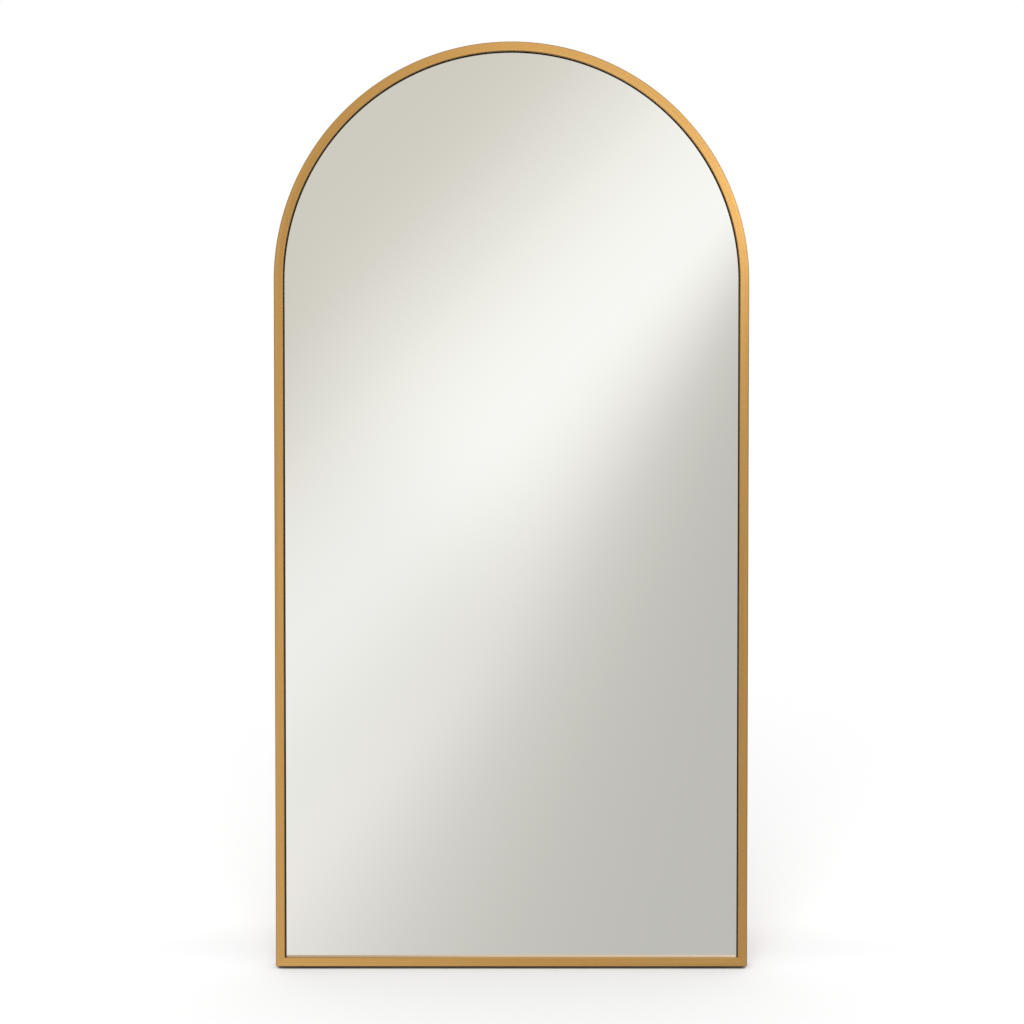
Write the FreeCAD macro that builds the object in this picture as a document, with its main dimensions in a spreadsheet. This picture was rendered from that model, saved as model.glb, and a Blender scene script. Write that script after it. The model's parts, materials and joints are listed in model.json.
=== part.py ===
import FreeCAD, Part
import math
import os

import Sketcher
from FreeCAD import Placement, Rotation, Vector

# An arched floor mirror that leans back on a folding rear stand.
# Millimetres. +X is to the right, +Y to the back, +Z up. The origin lies on the floor, under the middle
# of the standing mirror.
#
# Panel pieces are drawn as if the mirror stood upright: X across it, Y back from its front face, Z up from
# its bottom edge. Stand pieces are drawn about the hinge axis, with the legs hanging straight down.

SIZES = {
    # The mirror, seen from the front
    "mirror_width": 914.0,
    "mirror_height": 1784.0,
    "lean_angle": 7.0,
    # The hollow section that the frame is made of
    "face_width": 18.0,
    "frame_depth": 32.0,
    "frame_wall": 1.6,
    "reveal_depth": 9.0,
    "slot_width": 15.0,
    "lip_width": 12.0,
    "front_edge_round": 1.5,
    "rear_edge_round": 0.8,
    "corner_round": 3.5,
    # What lies in the slot, from front to back
    "gasket_thickness": 1.0,
    "gasket_proud": 1.8,
    "glass_thickness": 4.0,
    "film_thickness": 0.3,
    "board_thickness": 5.0,
    "edge_gap": 2.0,
    "packing_width": 9.0,
    "packing_end_gap": 60.0,
    "block_length": 60.0,
    "block_inset": 185.0,
    # Corner keys and corner plates
    "key_leg": 52.0,
    "key_fit_gap": 0.1,
    "plate_leg": 64.0,
    "plate_width": 22.0,
    "plate_thickness": 3.0,
    # Cross bars: the upper two hang below the start of the arch, the lower one lies above the foot
    "bar_height": 40.0,
    "bar_end_gap": 0.5,
    "hanger_rail_drop": 62.0,
    "stand_rail_drop": 327.0,
    "lower_rail_rise": 130.0,
    # Screws and rivets
    "screw_shank": 4.0,
    "screw_head": 7.6,
    "screw_head_height": 2.3,
    "screw_gap": 0.05,
    "bar_screw_pitch": 22.0,
    # Hanging straps and rings
    "strap_spread": 560.0,
    "strap_rise": 8.0,
    "strap_width": 18.0,
    "strap_length": 47.0,
    "strap_thickness": 1.5,
    "strap_screw_first": 27.0,
    "strap_screw_second": 39.0,
    "ring_wire": 3.0,
    "ring_width": 26.0,
    "ring_length": 20.0,
    "ring_bend": 3.0,
    "ring_play": 0.3,
    # Tab for the wall strap
    "tab_width": 34.0,
    "tab_height": 30.0,
    "tab_reach": 18.0,
    "tab_thickness": 2.0,
    "tab_hole": 5.5,
    "tab_screw_pitch": 18.0,
    # Wall bumpers
    "bumper_size": 10.0,
    "bumper_height": 6.0,
    "bumper_above_bar": 40.0,
    "bumper_arch_angle": 52.0,
    # Floor pads
    "pad_length": 90.0,
    "pad_inset": 40.0,
    "pad_front": 10.0,
    "pad_thin_edge": 1.2,
    # Hinge brackets
    "stand_splay": 6.0,
    "leg_spread": 420.0,
    "bracket_width": 56.0,
    "bracket_height": 36.0,
    "bracket_thickness": 2.5,
    "bracket_screw_pitch_x": 40.0,
    "bracket_screw_pitch_z": 20.0,
    "ear_gap": 6.4,
    "ear_radius": 9.0,
    "pin_standoff": 12.0,
    "pin_size": 6.0,
    "pin_play": 0.05,
    "pin_head": 9.0,
    "pin_head_thickness": 2.0,
    "pin_tail": 3.0,
    "clip_groove": 4.6,
    "clip_size": 10.0,
    "clip_thickness": 0.8,
    # Stand
    "tube_size": 16.0,
    "tube_wall": 1.5,
    "tube_bend": 60.0,
    "tube_start": 14.0,
    "blade_thickness": 6.0,
    "blade_width": 13.0,
    "heel_height": 16.0,
    "collar_height": 3.0,
    "plug_length": 30.0,
    "plug_gap": 0.1,
    "rivet_depth": 16.0,
    "rivet_size": 4.0,
    "rivet_head": 7.0,
    "rivet_head_height": 1.4,
    "sleeve_size": 22.0,
    "sleeve_length": 60.0,
    "sleeve_gap": 0.1,
    "sleeve_spread": 230.0,
}


# ---------------------------------------------------------------------------------------------------------
# Sizes: each one is a number together with the sheet expression that gives it.


class Size:
    def __init__(self, number, text):
        self.number = number
        self.text = text

    def __add__(self, other):
        return joined(self, "+", other, self.number + number_of(other))

    def __radd__(self, other):
        return joined(other, "+", self, number_of(other) + self.number)

    def __sub__(self, other):
        return joined(self, "-", other, self.number - number_of(other))

    def __rsub__(self, other):
        return joined(other, "-", self, number_of(other) - self.number)

    def __mul__(self, other):
        return joined(self, "*", other, self.number * number_of(other))

    def __rmul__(self, other):
        return joined(other, "*", self, number_of(other) * self.number)

    def __truediv__(self, other):
        return joined(self, "/", other, self.number / number_of(other))

    def __neg__(self):
        return Size(-self.number, f"(0 - {self.text})")


def number_of(value):
    return value.number if isinstance(value, Size) else float(value)


def text_of(value):
    return value.text if isinstance(value, Size) else repr(float(value))


def joined(left, sign, right, number):
    return Size(number, f"({text_of(left)} {sign} {text_of(right)})")


def sine(angle):
    return Size(math.sin(math.radians(angle.number)), f"sin({angle.text} * 1 deg)")


def cosine(angle):
    return Size(math.cos(math.radians(angle.number)), f"cos({angle.text} * 1 deg)")


def make_sheet(document):
    """The sheet of driving sizes, and a Size for each of them."""
    sheet = document.addObject("Spreadsheet::Sheet", "Sizes")
    for row, (alias, number) in enumerate(SIZES.items(), start=1):
        sheet.set(f"A{row}", str(number))
        sheet.setAlias(f"A{row}", alias)
    document.recompute()
    return {alias: Size(number, f"Sizes.{alias}") for alias, number in SIZES.items()}


doc = FreeCAD.newDocument("FloorMirror")
size = make_sheet(doc)

# Sizes that follow from the driving ones
half_width = size["mirror_width"] / 2
spring_level = size["mirror_height"] - half_width
hanger_rail_level = spring_level - size["hanger_rail_drop"]
stand_rail_level = spring_level - size["stand_rail_drop"]
lower_rail_level = size["lower_rail_rise"]
wall = size["frame_wall"]
slot_back = size["reveal_depth"] + size["slot_width"]
channel_front = slot_back + wall
channel_back = size["frame_depth"] - wall
glass_front = size["reveal_depth"] + size["gasket_thickness"]
glass_back = glass_front + size["glass_thickness"]
film_back = glass_back + size["film_thickness"]
board_back = film_back + size["board_thickness"]
sheet_edge = wall + size["edge_gap"]

# The bottom rail's rear edge is the lowest line of the frame, and the pads hold it off the floor
frame_lift = size["frame_depth"] * sine(size["lean_angle"]) + size["pad_thin_edge"]

# The hinge axis of the stand: in the panel, then in the room
hinge_depth = channel_back + size["bracket_thickness"] + size["pin_standoff"]
hinge_back = hinge_depth * cosine(size["lean_angle"]) + stand_rail_level * sine(size["lean_angle"])
hinge_level = (stand_rail_level * cosine(size["lean_angle"])
               - hinge_depth * sine(size["lean_angle"]) + frame_lift)
sleeve_radius = size["sleeve_size"] / 2
leg_length = (hinge_level - sleeve_radius) / cosine(size["stand_splay"])

# Half way between the frame's foremost edge and the rear of the sleeves
edge_turn = cosine(size["lean_angle"]) + sine(size["lean_angle"]) - 1
front_reach = size["front_edge_round"] * edge_turn
rear_reach = hinge_back + leg_length * sine(size["stand_splay"]) + sleeve_radius
middle_depth = (front_reach + rear_reach) / 2


# ---------------------------------------------------------------------------------------------------------
# Drawing helpers


def bind(thing, name, value):
    """Ties a property to the sheet."""
    thing.setExpression(name, text_of(value))


def new_body(label):
    body = doc.addObject("PartDesign::Body", label)
    body.Label = label
    body.AllowCompound = True
    return body


def place_in_panel(body):
    """Leans a piece of the panel back with the rest of it."""
    body.Placement = Placement(Vector(0, -middle_depth.number, frame_lift.number),
                               Rotation(Vector(-1, 0, 0), size["lean_angle"].number))
    bind(body, "Placement.Base.y", -middle_depth)
    bind(body, "Placement.Base.z", frame_lift)
    bind(body, "Placement.Rotation.Angle", size["lean_angle"])
    return body


def place_in_stand(body):
    """Hangs a piece of the stand from the hinge, opened to its stop."""
    depth = hinge_back - middle_depth
    body.Placement = Placement(Vector(0, depth.number, hinge_level.number),
                               Rotation(Vector(1, 0, 0), size["stand_splay"].number))
    bind(body, "Placement.Base.y", depth)
    bind(body, "Placement.Base.z", hinge_level)
    bind(body, "Placement.Rotation.Angle", size["stand_splay"])
    return body


def new_sketch(body, role, offset=(0, 0, 0)):
    """An empty sketch on one of the body's own planes, moved by an offset in the sketch's directions."""
    plane = next(item for item in body.Origin.OriginFeatures if item.Role == role)
    sketch = body.newObject("Sketcher::SketchObject", body.Label + "_sketch")
    sketch.AttachmentSupport = [(plane, "")]
    sketch.MapMode = "FlatFace"
    sketch.AttachmentOffset = Placement(Vector(*[number_of(value) for value in offset]), Rotation())
    for direction, value in zip("xyz", offset):
        if isinstance(value, Size):
            bind(sketch, f"AttachmentOffset.Base.{direction}", value)
    return sketch


def pin_point(sketch, edge, end, point):
    """Holds one end of an edge at a place that the sheet gives."""
    for kind, value in zip(("DistanceX", "DistanceY"), point):
        index = sketch.addConstraint(Sketcher.Constraint(kind, -1, 1, edge, end, number_of(value)))
        if isinstance(value, Size):
            bind(sketch, f"Constraints[{index}]", value)


def arc_between(start, end, radius, turn):
    """The short arc from start to end, turning left (+1) or right (-1)."""
    chord = end - start
    rise = math.sqrt(max(radius ** 2 - (chord.Length / 2) ** 2, 0.0))
    side = Vector(-chord.y, chord.x, 0).normalize() * (turn * rise)
    centre = (start + end) * 0.5 + side
    circle = Part.Circle(centre, Vector(0, 0, 1), radius)
    first = math.atan2(start.y - centre.y, start.x - centre.x)
    last = math.atan2(end.y - centre.y, end.x - centre.x)
    if turn < 0:
        first, last = last, first
    return Part.ArcOfCircle(circle, first, last)


def draw(sketch, start, steps, closed=True):
    """Lines and arcs end to end. A step is (x, y) for a line or (x, y, radius, turn) for an arc."""
    here = Vector(number_of(start[0]), number_of(start[1]), 0)
    last_edge = None
    last_end = None
    first_edge = None
    first_end = None
    for step in steps:
        there = Vector(number_of(step[0]), number_of(step[1]), 0)
        if len(step) == 2:
            edge = sketch.addGeometry(Part.LineSegment(here, there), False)
            begin, end = 1, 2
        else:
            radius, turn = step[2], step[3]
            edge = sketch.addGeometry(arc_between(here, there, number_of(radius), turn), False)
            begin, end = (1, 2) if turn > 0 else (2, 1)
            index = sketch.addConstraint(Sketcher.Constraint("Radius", edge, number_of(radius)))
            if isinstance(radius, Size):
                bind(sketch, f"Constraints[{index}]", radius)
        if last_edge is None:
            first_edge, first_end = edge, begin
            if not closed:
                pin_point(sketch, edge, begin, start)
        else:
            sketch.addConstraint(Sketcher.Constraint("Coincident", last_edge, last_end, edge, begin))
        pin_point(sketch, edge, end, step[:2])
        here, last_edge, last_end = there, edge, end
    if closed:
        sketch.addConstraint(Sketcher.Constraint("Coincident", last_edge, last_end, first_edge, first_end))


def draw_box(sketch, left, low, right, high):
    draw(sketch, (left, low), [(right, low), (right, high), (left, high), (left, low)])


def draw_circle(sketch, across, up, radius):
    circle = Part.Circle(Vector(number_of(across), number_of(up), 0), Vector(0, 0, 1), number_of(radius))
    edge = sketch.addGeometry(circle, False)
    pin_point(sketch, edge, 3, (across, up))
    index = sketch.addConstraint(Sketcher.Constraint("Radius", edge, number_of(radius)))
    bind(sketch, f"Constraints[{index}]", radius)


def pad(body, sketch, length, both_ways=False):
    feature = body.newObject("PartDesign::Pad", body.Label + "_pad")
    feature.Profile = sketch
    feature.SideType = "Symmetric" if both_ways else "One side"
    bind(feature, "Length", length)
    return feature


def cut_through(body, sketch):
    """Cuts a sketch right through the body, both ways, and makes sure that it took something away."""
    before = body.Tip.Name
    doc.recompute()
    volume = doc.getObject(before).Shape.Volume
    feature = body.newObject("PartDesign::Pocket", body.Label + "_cut")
    feature.Profile = sketch
    feature.Type = "ThroughAll"
    feature.SideType = "Symmetric"
    doc.recompute()
    if feature.Shape.Volume >= volume:
        raise RuntimeError(f"{feature.Name} cuts nothing")
    return feature


def turn_about_upright(body, sketch):
    """A full turn about the sketch's own upright axis."""
    feature = body.newObject("PartDesign::Revolution", body.Label + "_turn")
    feature.Profile = sketch
    feature.ReferenceAxis = (sketch, ["V_Axis"])
    feature.Angle = 360
    return feature


def sweep(body, section, path):
    feature = body.newObject("PartDesign::AdditivePipe", body.Label + "_sweep")
    feature.Profile = section
    feature.Spine = (path, [])
    return feature


def add_pan_screw(body, across, level, seat, reach):
    """A pan-head screw from the back: head on the seat, shank reaching forward."""
    sketch = new_sketch(body, "XY_Plane", (across, 0, level))
    shank = size["screw_shank"] / 2
    head = size["screw_head"] / 2
    top = seat + size["screw_head_height"]
    brow = size["screw_head_height"] / 2
    draw(sketch, (0, seat - reach), [
        (shank, seat - reach),
        (shank, seat),
        (head, seat),
        (head, top - brow),
        (head - brow, top, brow, 1),
        (0, top),
        (0, seat - reach),
    ])
    turn_about_upright(body, sketch)


def screw_hole():
    return size["screw_shank"] / 2 + size["screw_gap"]


# ---------------------------------------------------------------------------------------------------------
# The frame: one hollow section, bent to the hoop and mitred to the bottom rail


def draw_frame_section(sketch, side, sign):
    """The section, with its outer wall on the line at side, reaching inwards by sign."""
    face = size["face_width"]
    lip = size["lip_width"]
    bend = size["front_edge_round"]
    rear_bend = size["rear_edge_round"]
    turn = int(sign)

    def inward(distance):
        return side + distance * sign

    draw(sketch, (inward(bend), 0), [
        (inward(face - bend), 0),
        (inward(face), bend, bend, turn),
        (inward(face), size["reveal_depth"]),
        (inward(wall), size["reveal_depth"]),
        (inward(wall), slot_back),
        (inward(lip), slot_back),
        (inward(lip), channel_front),
        (inward(wall), channel_front),
        (inward(wall), channel_back),
        (inward(lip), channel_back),
        (inward(lip), size["frame_depth"]),
        (inward(rear_bend), size["frame_depth"]),
        (side, size["frame_depth"] - rear_bend, rear_bend, turn),
        (side, bend),
        (inward(bend), 0, bend, turn),
    ])
    draw(sketch, (inward(wall), wall), [
        (inward(face - wall), wall),
        (inward(face - wall), size["reveal_depth"] - wall),
        (inward(wall), size["reveal_depth"] - wall),
        (inward(wall), wall),
    ])


def hoop_path(body, inset, foot):
    """Up one side, round the arch and down the other side."""
    reach = half_width - inset
    sketch = new_sketch(body, "XZ_Plane")
    draw(sketch, (-reach, foot), [
        (-reach, spring_level),
        (0, spring_level + reach, reach, -1),
        (reach, spring_level, reach, -1),
        (reach, foot),
    ], closed=False)
    return sketch


def corner_nib(body, sign):
    """Takes the sharp tip off one of the frame's bottom corners."""
    bend = size["corner_round"]
    edge = half_width * sign
    over = 2 * size["corner_round"]
    sketch = new_sketch(body, "XZ_Plane")
    draw(sketch, (edge, bend), [
        (edge + over * sign, bend),
        (edge + over * sign, -over),
        (edge - bend * sign, -over),
        (edge - bend * sign, 0),
        (edge, bend, bend, int(sign)),
    ])
    cut_through(body, sketch)


def hoop_rail():
    body = new_body("hoop_rail")
    section = new_sketch(body, "XY_Plane")
    draw_frame_section(section, -half_width, 1)
    sweep(body, section, hoop_path(body, 0, 0))
    tip = size["face_width"]
    for sign in (-1, 1):
        mitre = new_sketch(body, "XZ_Plane")
        draw(mitre, (half_width * sign, 0), [
            ((half_width - tip) * sign, tip),
            ((half_width - 2 * tip) * sign, tip),
            ((half_width - 2 * tip) * sign, -tip),
            (half_width * sign, -tip),
            (half_width * sign, 0),
        ])
        cut_through(body, mitre)
        corner_nib(body, sign)
    cut_lip_holes(body)
    return place_in_panel(body)


def bottom_rail():
    body = new_body("bottom_rail")
    section = new_sketch(body, "YZ_Plane")
    draw_rail_section(section)
    pad(body, section, size["mirror_width"], both_ways=True)
    tip = size["face_width"]
    for sign in (-1, 1):
        mitre = new_sketch(body, "XZ_Plane")
        draw(mitre, (half_width * sign, 0), [
            ((half_width - 2 * tip) * sign, 2 * tip),
            ((half_width + tip) * sign, 2 * tip),
            ((half_width + tip) * sign, 0),
            (half_width * sign, 0),
        ])
        cut_through(body, mitre)
        corner_nib(body, sign)
    cut_corner_holes(body, along_bottom=True)
    return place_in_panel(body)


def draw_rail_section(sketch):
    """The same section lying along the foot: sketch across is depth, sketch up is inwards."""
    face = size["face_width"]
    lip = size["lip_width"]
    bend = size["front_edge_round"]
    rear_bend = size["rear_edge_round"]
    draw(sketch, (0, bend), [
        (bend, 0, bend, 1),
        (size["frame_depth"] - rear_bend, 0),
        (size["frame_depth"], rear_bend, rear_bend, 1),
        (size["frame_depth"], lip),
        (channel_back, lip),
        (channel_back, wall),
        (channel_front, wall),
        (channel_front, lip),
        (slot_back, lip),
        (slot_back, wall),
        (size["reveal_depth"], wall),
        (size["reveal_depth"], face),
        (bend, face),
        (0, face - bend, bend, 1),
        (0, bend),
    ])
    draw_box(sketch, wall, wall, size["reveal_depth"] - wall, face - wall)


# Rail screws go through the rear lip of the hoop into the cross bars
RAIL_LEVELS = (hanger_rail_level, stand_rail_level, lower_rail_level)


def lip_middle():
    """Half way across the rear lip, where screws pass through it."""
    return half_width - (wall + size["lip_width"]) / 2


def rail_screw_places():
    for level in RAIL_LEVELS:
        for sign in (-1, 1):
            for step in (-1, 1):
                yield lip_middle() * sign, level + size["bar_screw_pitch"] / 2 * step


def corner_screw_places():
    """Two screws up the side and two along the foot, at each bottom corner."""
    near = size["plate_width"] + (size["plate_leg"] - size["plate_width"]) / 4
    far = size["plate_width"] + (size["plate_leg"] - size["plate_width"]) * 3 / 4
    lip_level = (wall + size["lip_width"]) / 2
    for sign in (-1, 1):
        for distance in (near, far):
            yield "side", lip_middle() * sign, distance
            yield "foot", (half_width - distance) * sign, lip_level


def cut_rear_hole(body, across, level, depth_from):
    """A screw hole from behind, cut no further forward than depth_from."""
    sketch = new_sketch(body, "XZ_Plane", (0, 0, -depth_from))
    draw_circle(sketch, across, level, screw_hole())
    doc.recompute()
    volume = body.Tip.Shape.Volume
    feature = body.newObject("PartDesign::Pocket", body.Label + "_hole")
    feature.Profile = sketch
    feature.Type = "Length"
    bind(feature, "Length", size["frame_depth"])
    doc.recompute()
    if feature.Shape.Volume >= volume:
        feature.Reversed = not feature.Reversed
        doc.recompute()
    if feature.Shape.Volume >= volume:
        raise RuntimeError(f"{feature.Name} cuts nothing")


def cut_lip_holes(body):
    middle_of_channel = (channel_front + channel_back) / 2
    for across, level in rail_screw_places():
        cut_rear_hole(body, across, level, middle_of_channel)
    cut_corner_holes(body, along_bottom=False)


def cut_corner_holes(body, along_bottom):
    middle_of_channel = (channel_front + channel_back) / 2
    wanted = "foot" if along_bottom else "side"
    for run, across, level in corner_screw_places():
        if run == wanted:
            cut_rear_hole(body, across, level, middle_of_channel)


def corner_keys():
    """Cast L keys that fill the front chamber on both sides of each mitre."""
    body = new_body("corner_keys")
    gap = size["key_fit_gap"]
    near = wall + gap
    far = size["face_width"] - wall - gap
    front = wall + gap
    back = size["reveal_depth"] - wall - gap
    for sign in (-1, 1):
        sketch = new_sketch(body, "XZ_Plane", (0, 0, -front))
        outer = (half_width - near) * sign
        inner = (half_width - far) * sign
        end = (half_width - size["key_leg"]) * sign
        draw(sketch, (outer, size["key_leg"]), [
            (inner, size["key_leg"]),
            (inner, far),
            (end, far),
            (end, near),
            (outer, near),
            (outer, size["key_leg"]),
        ])
        feature = pad(body, sketch, back - front)
        feature.Reversed = True
    return place_in_panel(body)


def corner_plates():
    """Flat L plates in the rear channel, drawn up against the lips by their screws."""
    body = new_body("corner_plates")
    near = wall + size["bar_end_gap"]
    front = channel_back - size["plate_thickness"]
    for sign in (-1, 1):
        sketch = new_sketch(body, "XZ_Plane", (0, 0, -front))
        outer = (half_width - near) * sign
        inner = (half_width - size["plate_width"]) * sign
        end = (half_width - size["plate_leg"]) * sign
        draw(sketch, (outer, size["plate_leg"]), [
            (inner, size["plate_leg"]),
            (inner, size["plate_width"]),
            (end, size["plate_width"]),
            (end, near),
            (outer, near),
            (outer, size["plate_leg"]),
        ])
        feature = pad(body, sketch, size["plate_thickness"])
        feature.Reversed = True
    holes = new_sketch(body, "XZ_Plane")
    for _, across, level in corner_screw_places():
        draw_circle(holes, across, level, screw_hole())
    cut_through(body, holes)
    return place_in_panel(body)


def corner_plate_screws():
    body = new_body("corner_plate_screws")
    for _, across, level in corner_screw_places():
        add_pan_screw(body, across, level, size["frame_depth"], wall + size["plate_thickness"])
    return place_in_panel(body)


# ---------------------------------------------------------------------------------------------------------
# What lies in the frame's slot


def draw_arch(sketch, inset, foot):
    """The arched outline, set in from the frame's outer edge, with its foot at a level of its own."""
    reach = half_width - inset
    draw(sketch, (-reach, foot), [
        (reach, foot),
        (reach, spring_level),
        (0, spring_level + reach, reach, 1),
        (-reach, spring_level, reach, 1),
        (-reach, foot),
    ])


def arched_sheet(label, front, thickness, inset):
    body = new_body(label)
    sketch = new_sketch(body, "XZ_Plane", (0, 0, -front))
    draw_arch(sketch, inset, inset)
    feature = pad(body, sketch, thickness)
    feature.Reversed = True
    return place_in_panel(body)


def front_gasket():
    """A strip between the rebate and the glass: proud of the hoop, flush where the glass meets the foot."""
    body = new_body("front_gasket")
    sketch = new_sketch(body, "XZ_Plane", (0, 0, -size["reveal_depth"]))
    draw_arch(sketch, sheet_edge, sheet_edge)
    draw_arch(sketch, size["face_width"] + size["gasket_proud"], size["face_width"])
    feature = pad(body, sketch, size["gasket_thickness"])
    feature.Reversed = True
    return place_in_panel(body)


def packing_strips():
    """Foam strips between the board and the frame's web, up both sides and along the foot."""
    body = new_body("packing_strips")
    side = half_width - wall
    end = size["packing_end_gap"]
    wide = size["packing_width"]
    sketch = new_sketch(body, "XZ_Plane", (0, 0, -board_back))
    draw_box(sketch, -side, end, -side + wide, spring_level)
    draw_box(sketch, side - wide, end, side, spring_level)
    draw_box(sketch, -side + end, wall, side - end, wall + wide)
    feature = pad(body, sketch, slot_back - board_back)
    feature.Reversed = True
    return place_in_panel(body)


def setting_blocks():
    """Blocks on the bottom rail that the glass and the board stand on."""
    body = new_body("setting_blocks")
    sketch = new_sketch(body, "XZ_Plane", (0, 0, -glass_front))
    for sign in (-1, 1):
        outer = (half_width - size["block_inset"]) * sign
        inner = (half_width - size["block_inset"] - size["block_length"]) * sign
        draw_box(sketch, outer, wall, inner, sheet_edge)
    feature = pad(body, sketch, board_back - glass_front)
    feature.Reversed = True
    return place_in_panel(body)


# ---------------------------------------------------------------------------------------------------------
# Across the back


def cross_bar(label, level, holes):
    """A steel flat in the rear channel, from one side of the frame to the other."""
    body = new_body(label)
    end = half_width - wall - size["bar_end_gap"]
    half = size["bar_height"] / 2
    sketch = new_sketch(body, "XZ_Plane", (0, 0, -channel_front))
    draw_box(sketch, -end, level - half, end, level + half)
    feature = pad(body, sketch, channel_back - channel_front)
    feature.Reversed = True
    drilled = new_sketch(body, "XZ_Plane")
    for sign in (-1, 1):
        for step in (-1, 1):
            height = level + size["bar_screw_pitch"] / 2 * step
            draw_circle(drilled, lip_middle() * sign, height, screw_hole())
    for across, height in holes:
        draw_circle(drilled, across, height, screw_hole())
    cut_through(body, drilled)
    return place_in_panel(body)


def rail_screws():
    body = new_body("rail_screws")
    for across, level in rail_screw_places():
        add_pan_screw(body, across, level, size["frame_depth"], size["frame_depth"] - channel_front)
    return place_in_panel(body)


# The eye of each strap stands a little above the hanger rail
eye_level = hanger_rail_level + size["bar_height"] / 2 + size["strap_rise"]
eye_inner = size["ring_wire"] / 2 + size["ring_play"]
eye_outer = eye_inner + size["strap_thickness"]
eye_depth = channel_back + eye_outer


def strap_screw_places():
    for sign in (-1, 1):
        for drop in (size["strap_screw_first"], size["strap_screw_second"]):
            yield size["strap_spread"] / 2 * sign, eye_level - drop


def hanger_straps():
    """Steel straps screwed to the hanger rail, the upper end curled round the ring."""
    body = new_body("hanger_straps")
    back = channel_back + size["strap_thickness"]
    foot = eye_level - size["strap_length"]
    for sign in (-1, 1):
        centre = size["strap_spread"] / 2 * sign
        sketch = new_sketch(body, "YZ_Plane", (0, 0, centre))
        draw(sketch, (channel_back, foot), [
            (back, foot),
            (back, eye_level),
            (eye_depth, eye_level + eye_inner, eye_inner, -1),
            (eye_depth + eye_inner, eye_level, eye_inner, -1),
            (eye_depth, eye_level - eye_inner, eye_inner, -1),
            (eye_depth, eye_level - eye_outer),
            (eye_depth + eye_outer, eye_level, eye_outer, 1),
            (eye_depth, eye_level + eye_outer, eye_outer, 1),
            (channel_back, eye_level, eye_outer, 1),
            (channel_back, foot),
        ])
        pad(body, sketch, size["strap_width"], both_ways=True)
    holes = new_sketch(body, "XZ_Plane")
    for across, level in strap_screw_places():
        draw_circle(holes, across, level, screw_hole())
    cut_through(body, holes)
    return place_in_panel(body)


def hanger_screws():
    body = new_body("hanger_screws")
    seat = channel_back + size["strap_thickness"]
    for across, level in strap_screw_places():
        add_pan_screw(body, across, level, seat, seat - channel_front)
    return place_in_panel(body)


def hanger_ring(label, sign):
    """A wire D ring. It hangs straight down from the strap's eye, so it is upright in the room."""
    body = new_body(label)
    half = size["ring_width"] / 2
    bend = size["ring_bend"]
    flat = half - bend
    drop = size["ring_length"] - half
    path = new_sketch(body, "XZ_Plane")
    draw(path, (0, 0), [
        (flat, 0),
        (half, -bend, bend, -1),
        (half, -drop),
        (0, -size["ring_length"], half, -1),
        (-half, -drop, half, -1),
        (-half, -bend),
        (-flat, 0, bend, -1),
        (0, 0),
    ])
    section = new_sketch(body, "YZ_Plane")
    draw_circle(section, 0, 0, size["ring_wire"] / 2)
    sweep(body, section, path)
    across = size["strap_spread"] / 2 * sign
    lean = size["lean_angle"]
    depth = eye_depth * cosine(lean) + eye_level * sine(lean) - middle_depth
    level = eye_level * cosine(lean) - eye_depth * sine(lean) + frame_lift
    body.Placement = Placement(Vector(across.number, depth.number, level.number), Rotation())
    for direction, value in zip("xyz", (across, depth, level)):
        bind(body, f"Placement.Base.{direction}", value)
    return body


def tether_tab():
    """An angle on the hanger rail. The hole in its shelf takes a strap to the wall."""
    body = new_body("tether_tab")
    back = channel_back + size["tab_thickness"]
    low = hanger_rail_level - size["tab_height"] / 2
    high = hanger_rail_level + size["tab_height"] / 2
    sketch = new_sketch(body, "YZ_Plane")
    draw(sketch, (channel_back, low), [
        (back, low),
        (back, high - size["tab_thickness"]),
        (channel_back + size["tab_reach"], high - size["tab_thickness"]),
        (channel_back + size["tab_reach"], high),
        (channel_back, high),
        (channel_back, low),
    ])
    pad(body, sketch, size["tab_width"], both_ways=True)
    screw_holes = new_sketch(body, "XZ_Plane")
    for across, level in tether_screw_places():
        draw_circle(screw_holes, across, level, screw_hole())
    cut_through(body, screw_holes)
    strap_hole = new_sketch(body, "XY_Plane")
    draw_circle(strap_hole, 0, (back + channel_back + size["tab_reach"]) / 2, size["tab_hole"] / 2)
    cut_through(body, strap_hole)
    return place_in_panel(body)


def tether_screw_places():
    for sign in (-1, 1):
        yield size["tab_screw_pitch"] / 2 * sign, hanger_rail_level - size["tab_thickness"]


def tether_screws():
    body = new_body("tether_screws")
    seat = channel_back + size["tab_thickness"]
    for across, level in tether_screw_places():
        add_pan_screw(body, across, level, seat, seat - channel_front)
    return place_in_panel(body)


def wall_bumpers():
    """Rubber discs on the rear lip: two on the arch, two low down."""
    body = new_body("wall_bumpers")
    sketch = new_sketch(body, "XZ_Plane", (0, 0, -size["frame_depth"]))
    radius = size["bumper_size"] / 2
    ring = lip_middle()
    tilt = size["bumper_arch_angle"]
    low_level = lower_rail_level + size["bar_height"] / 2 + size["bumper_above_bar"]
    for sign in (-1, 1):
        draw_circle(sketch, ring * sign, low_level, radius)
        draw_circle(sketch, ring * cosine(tilt) * sign, spring_level + ring * sine(tilt), radius)
    feature = pad(body, sketch, size["bumper_height"])
    feature.Reversed = True
    return place_in_panel(body)


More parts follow.
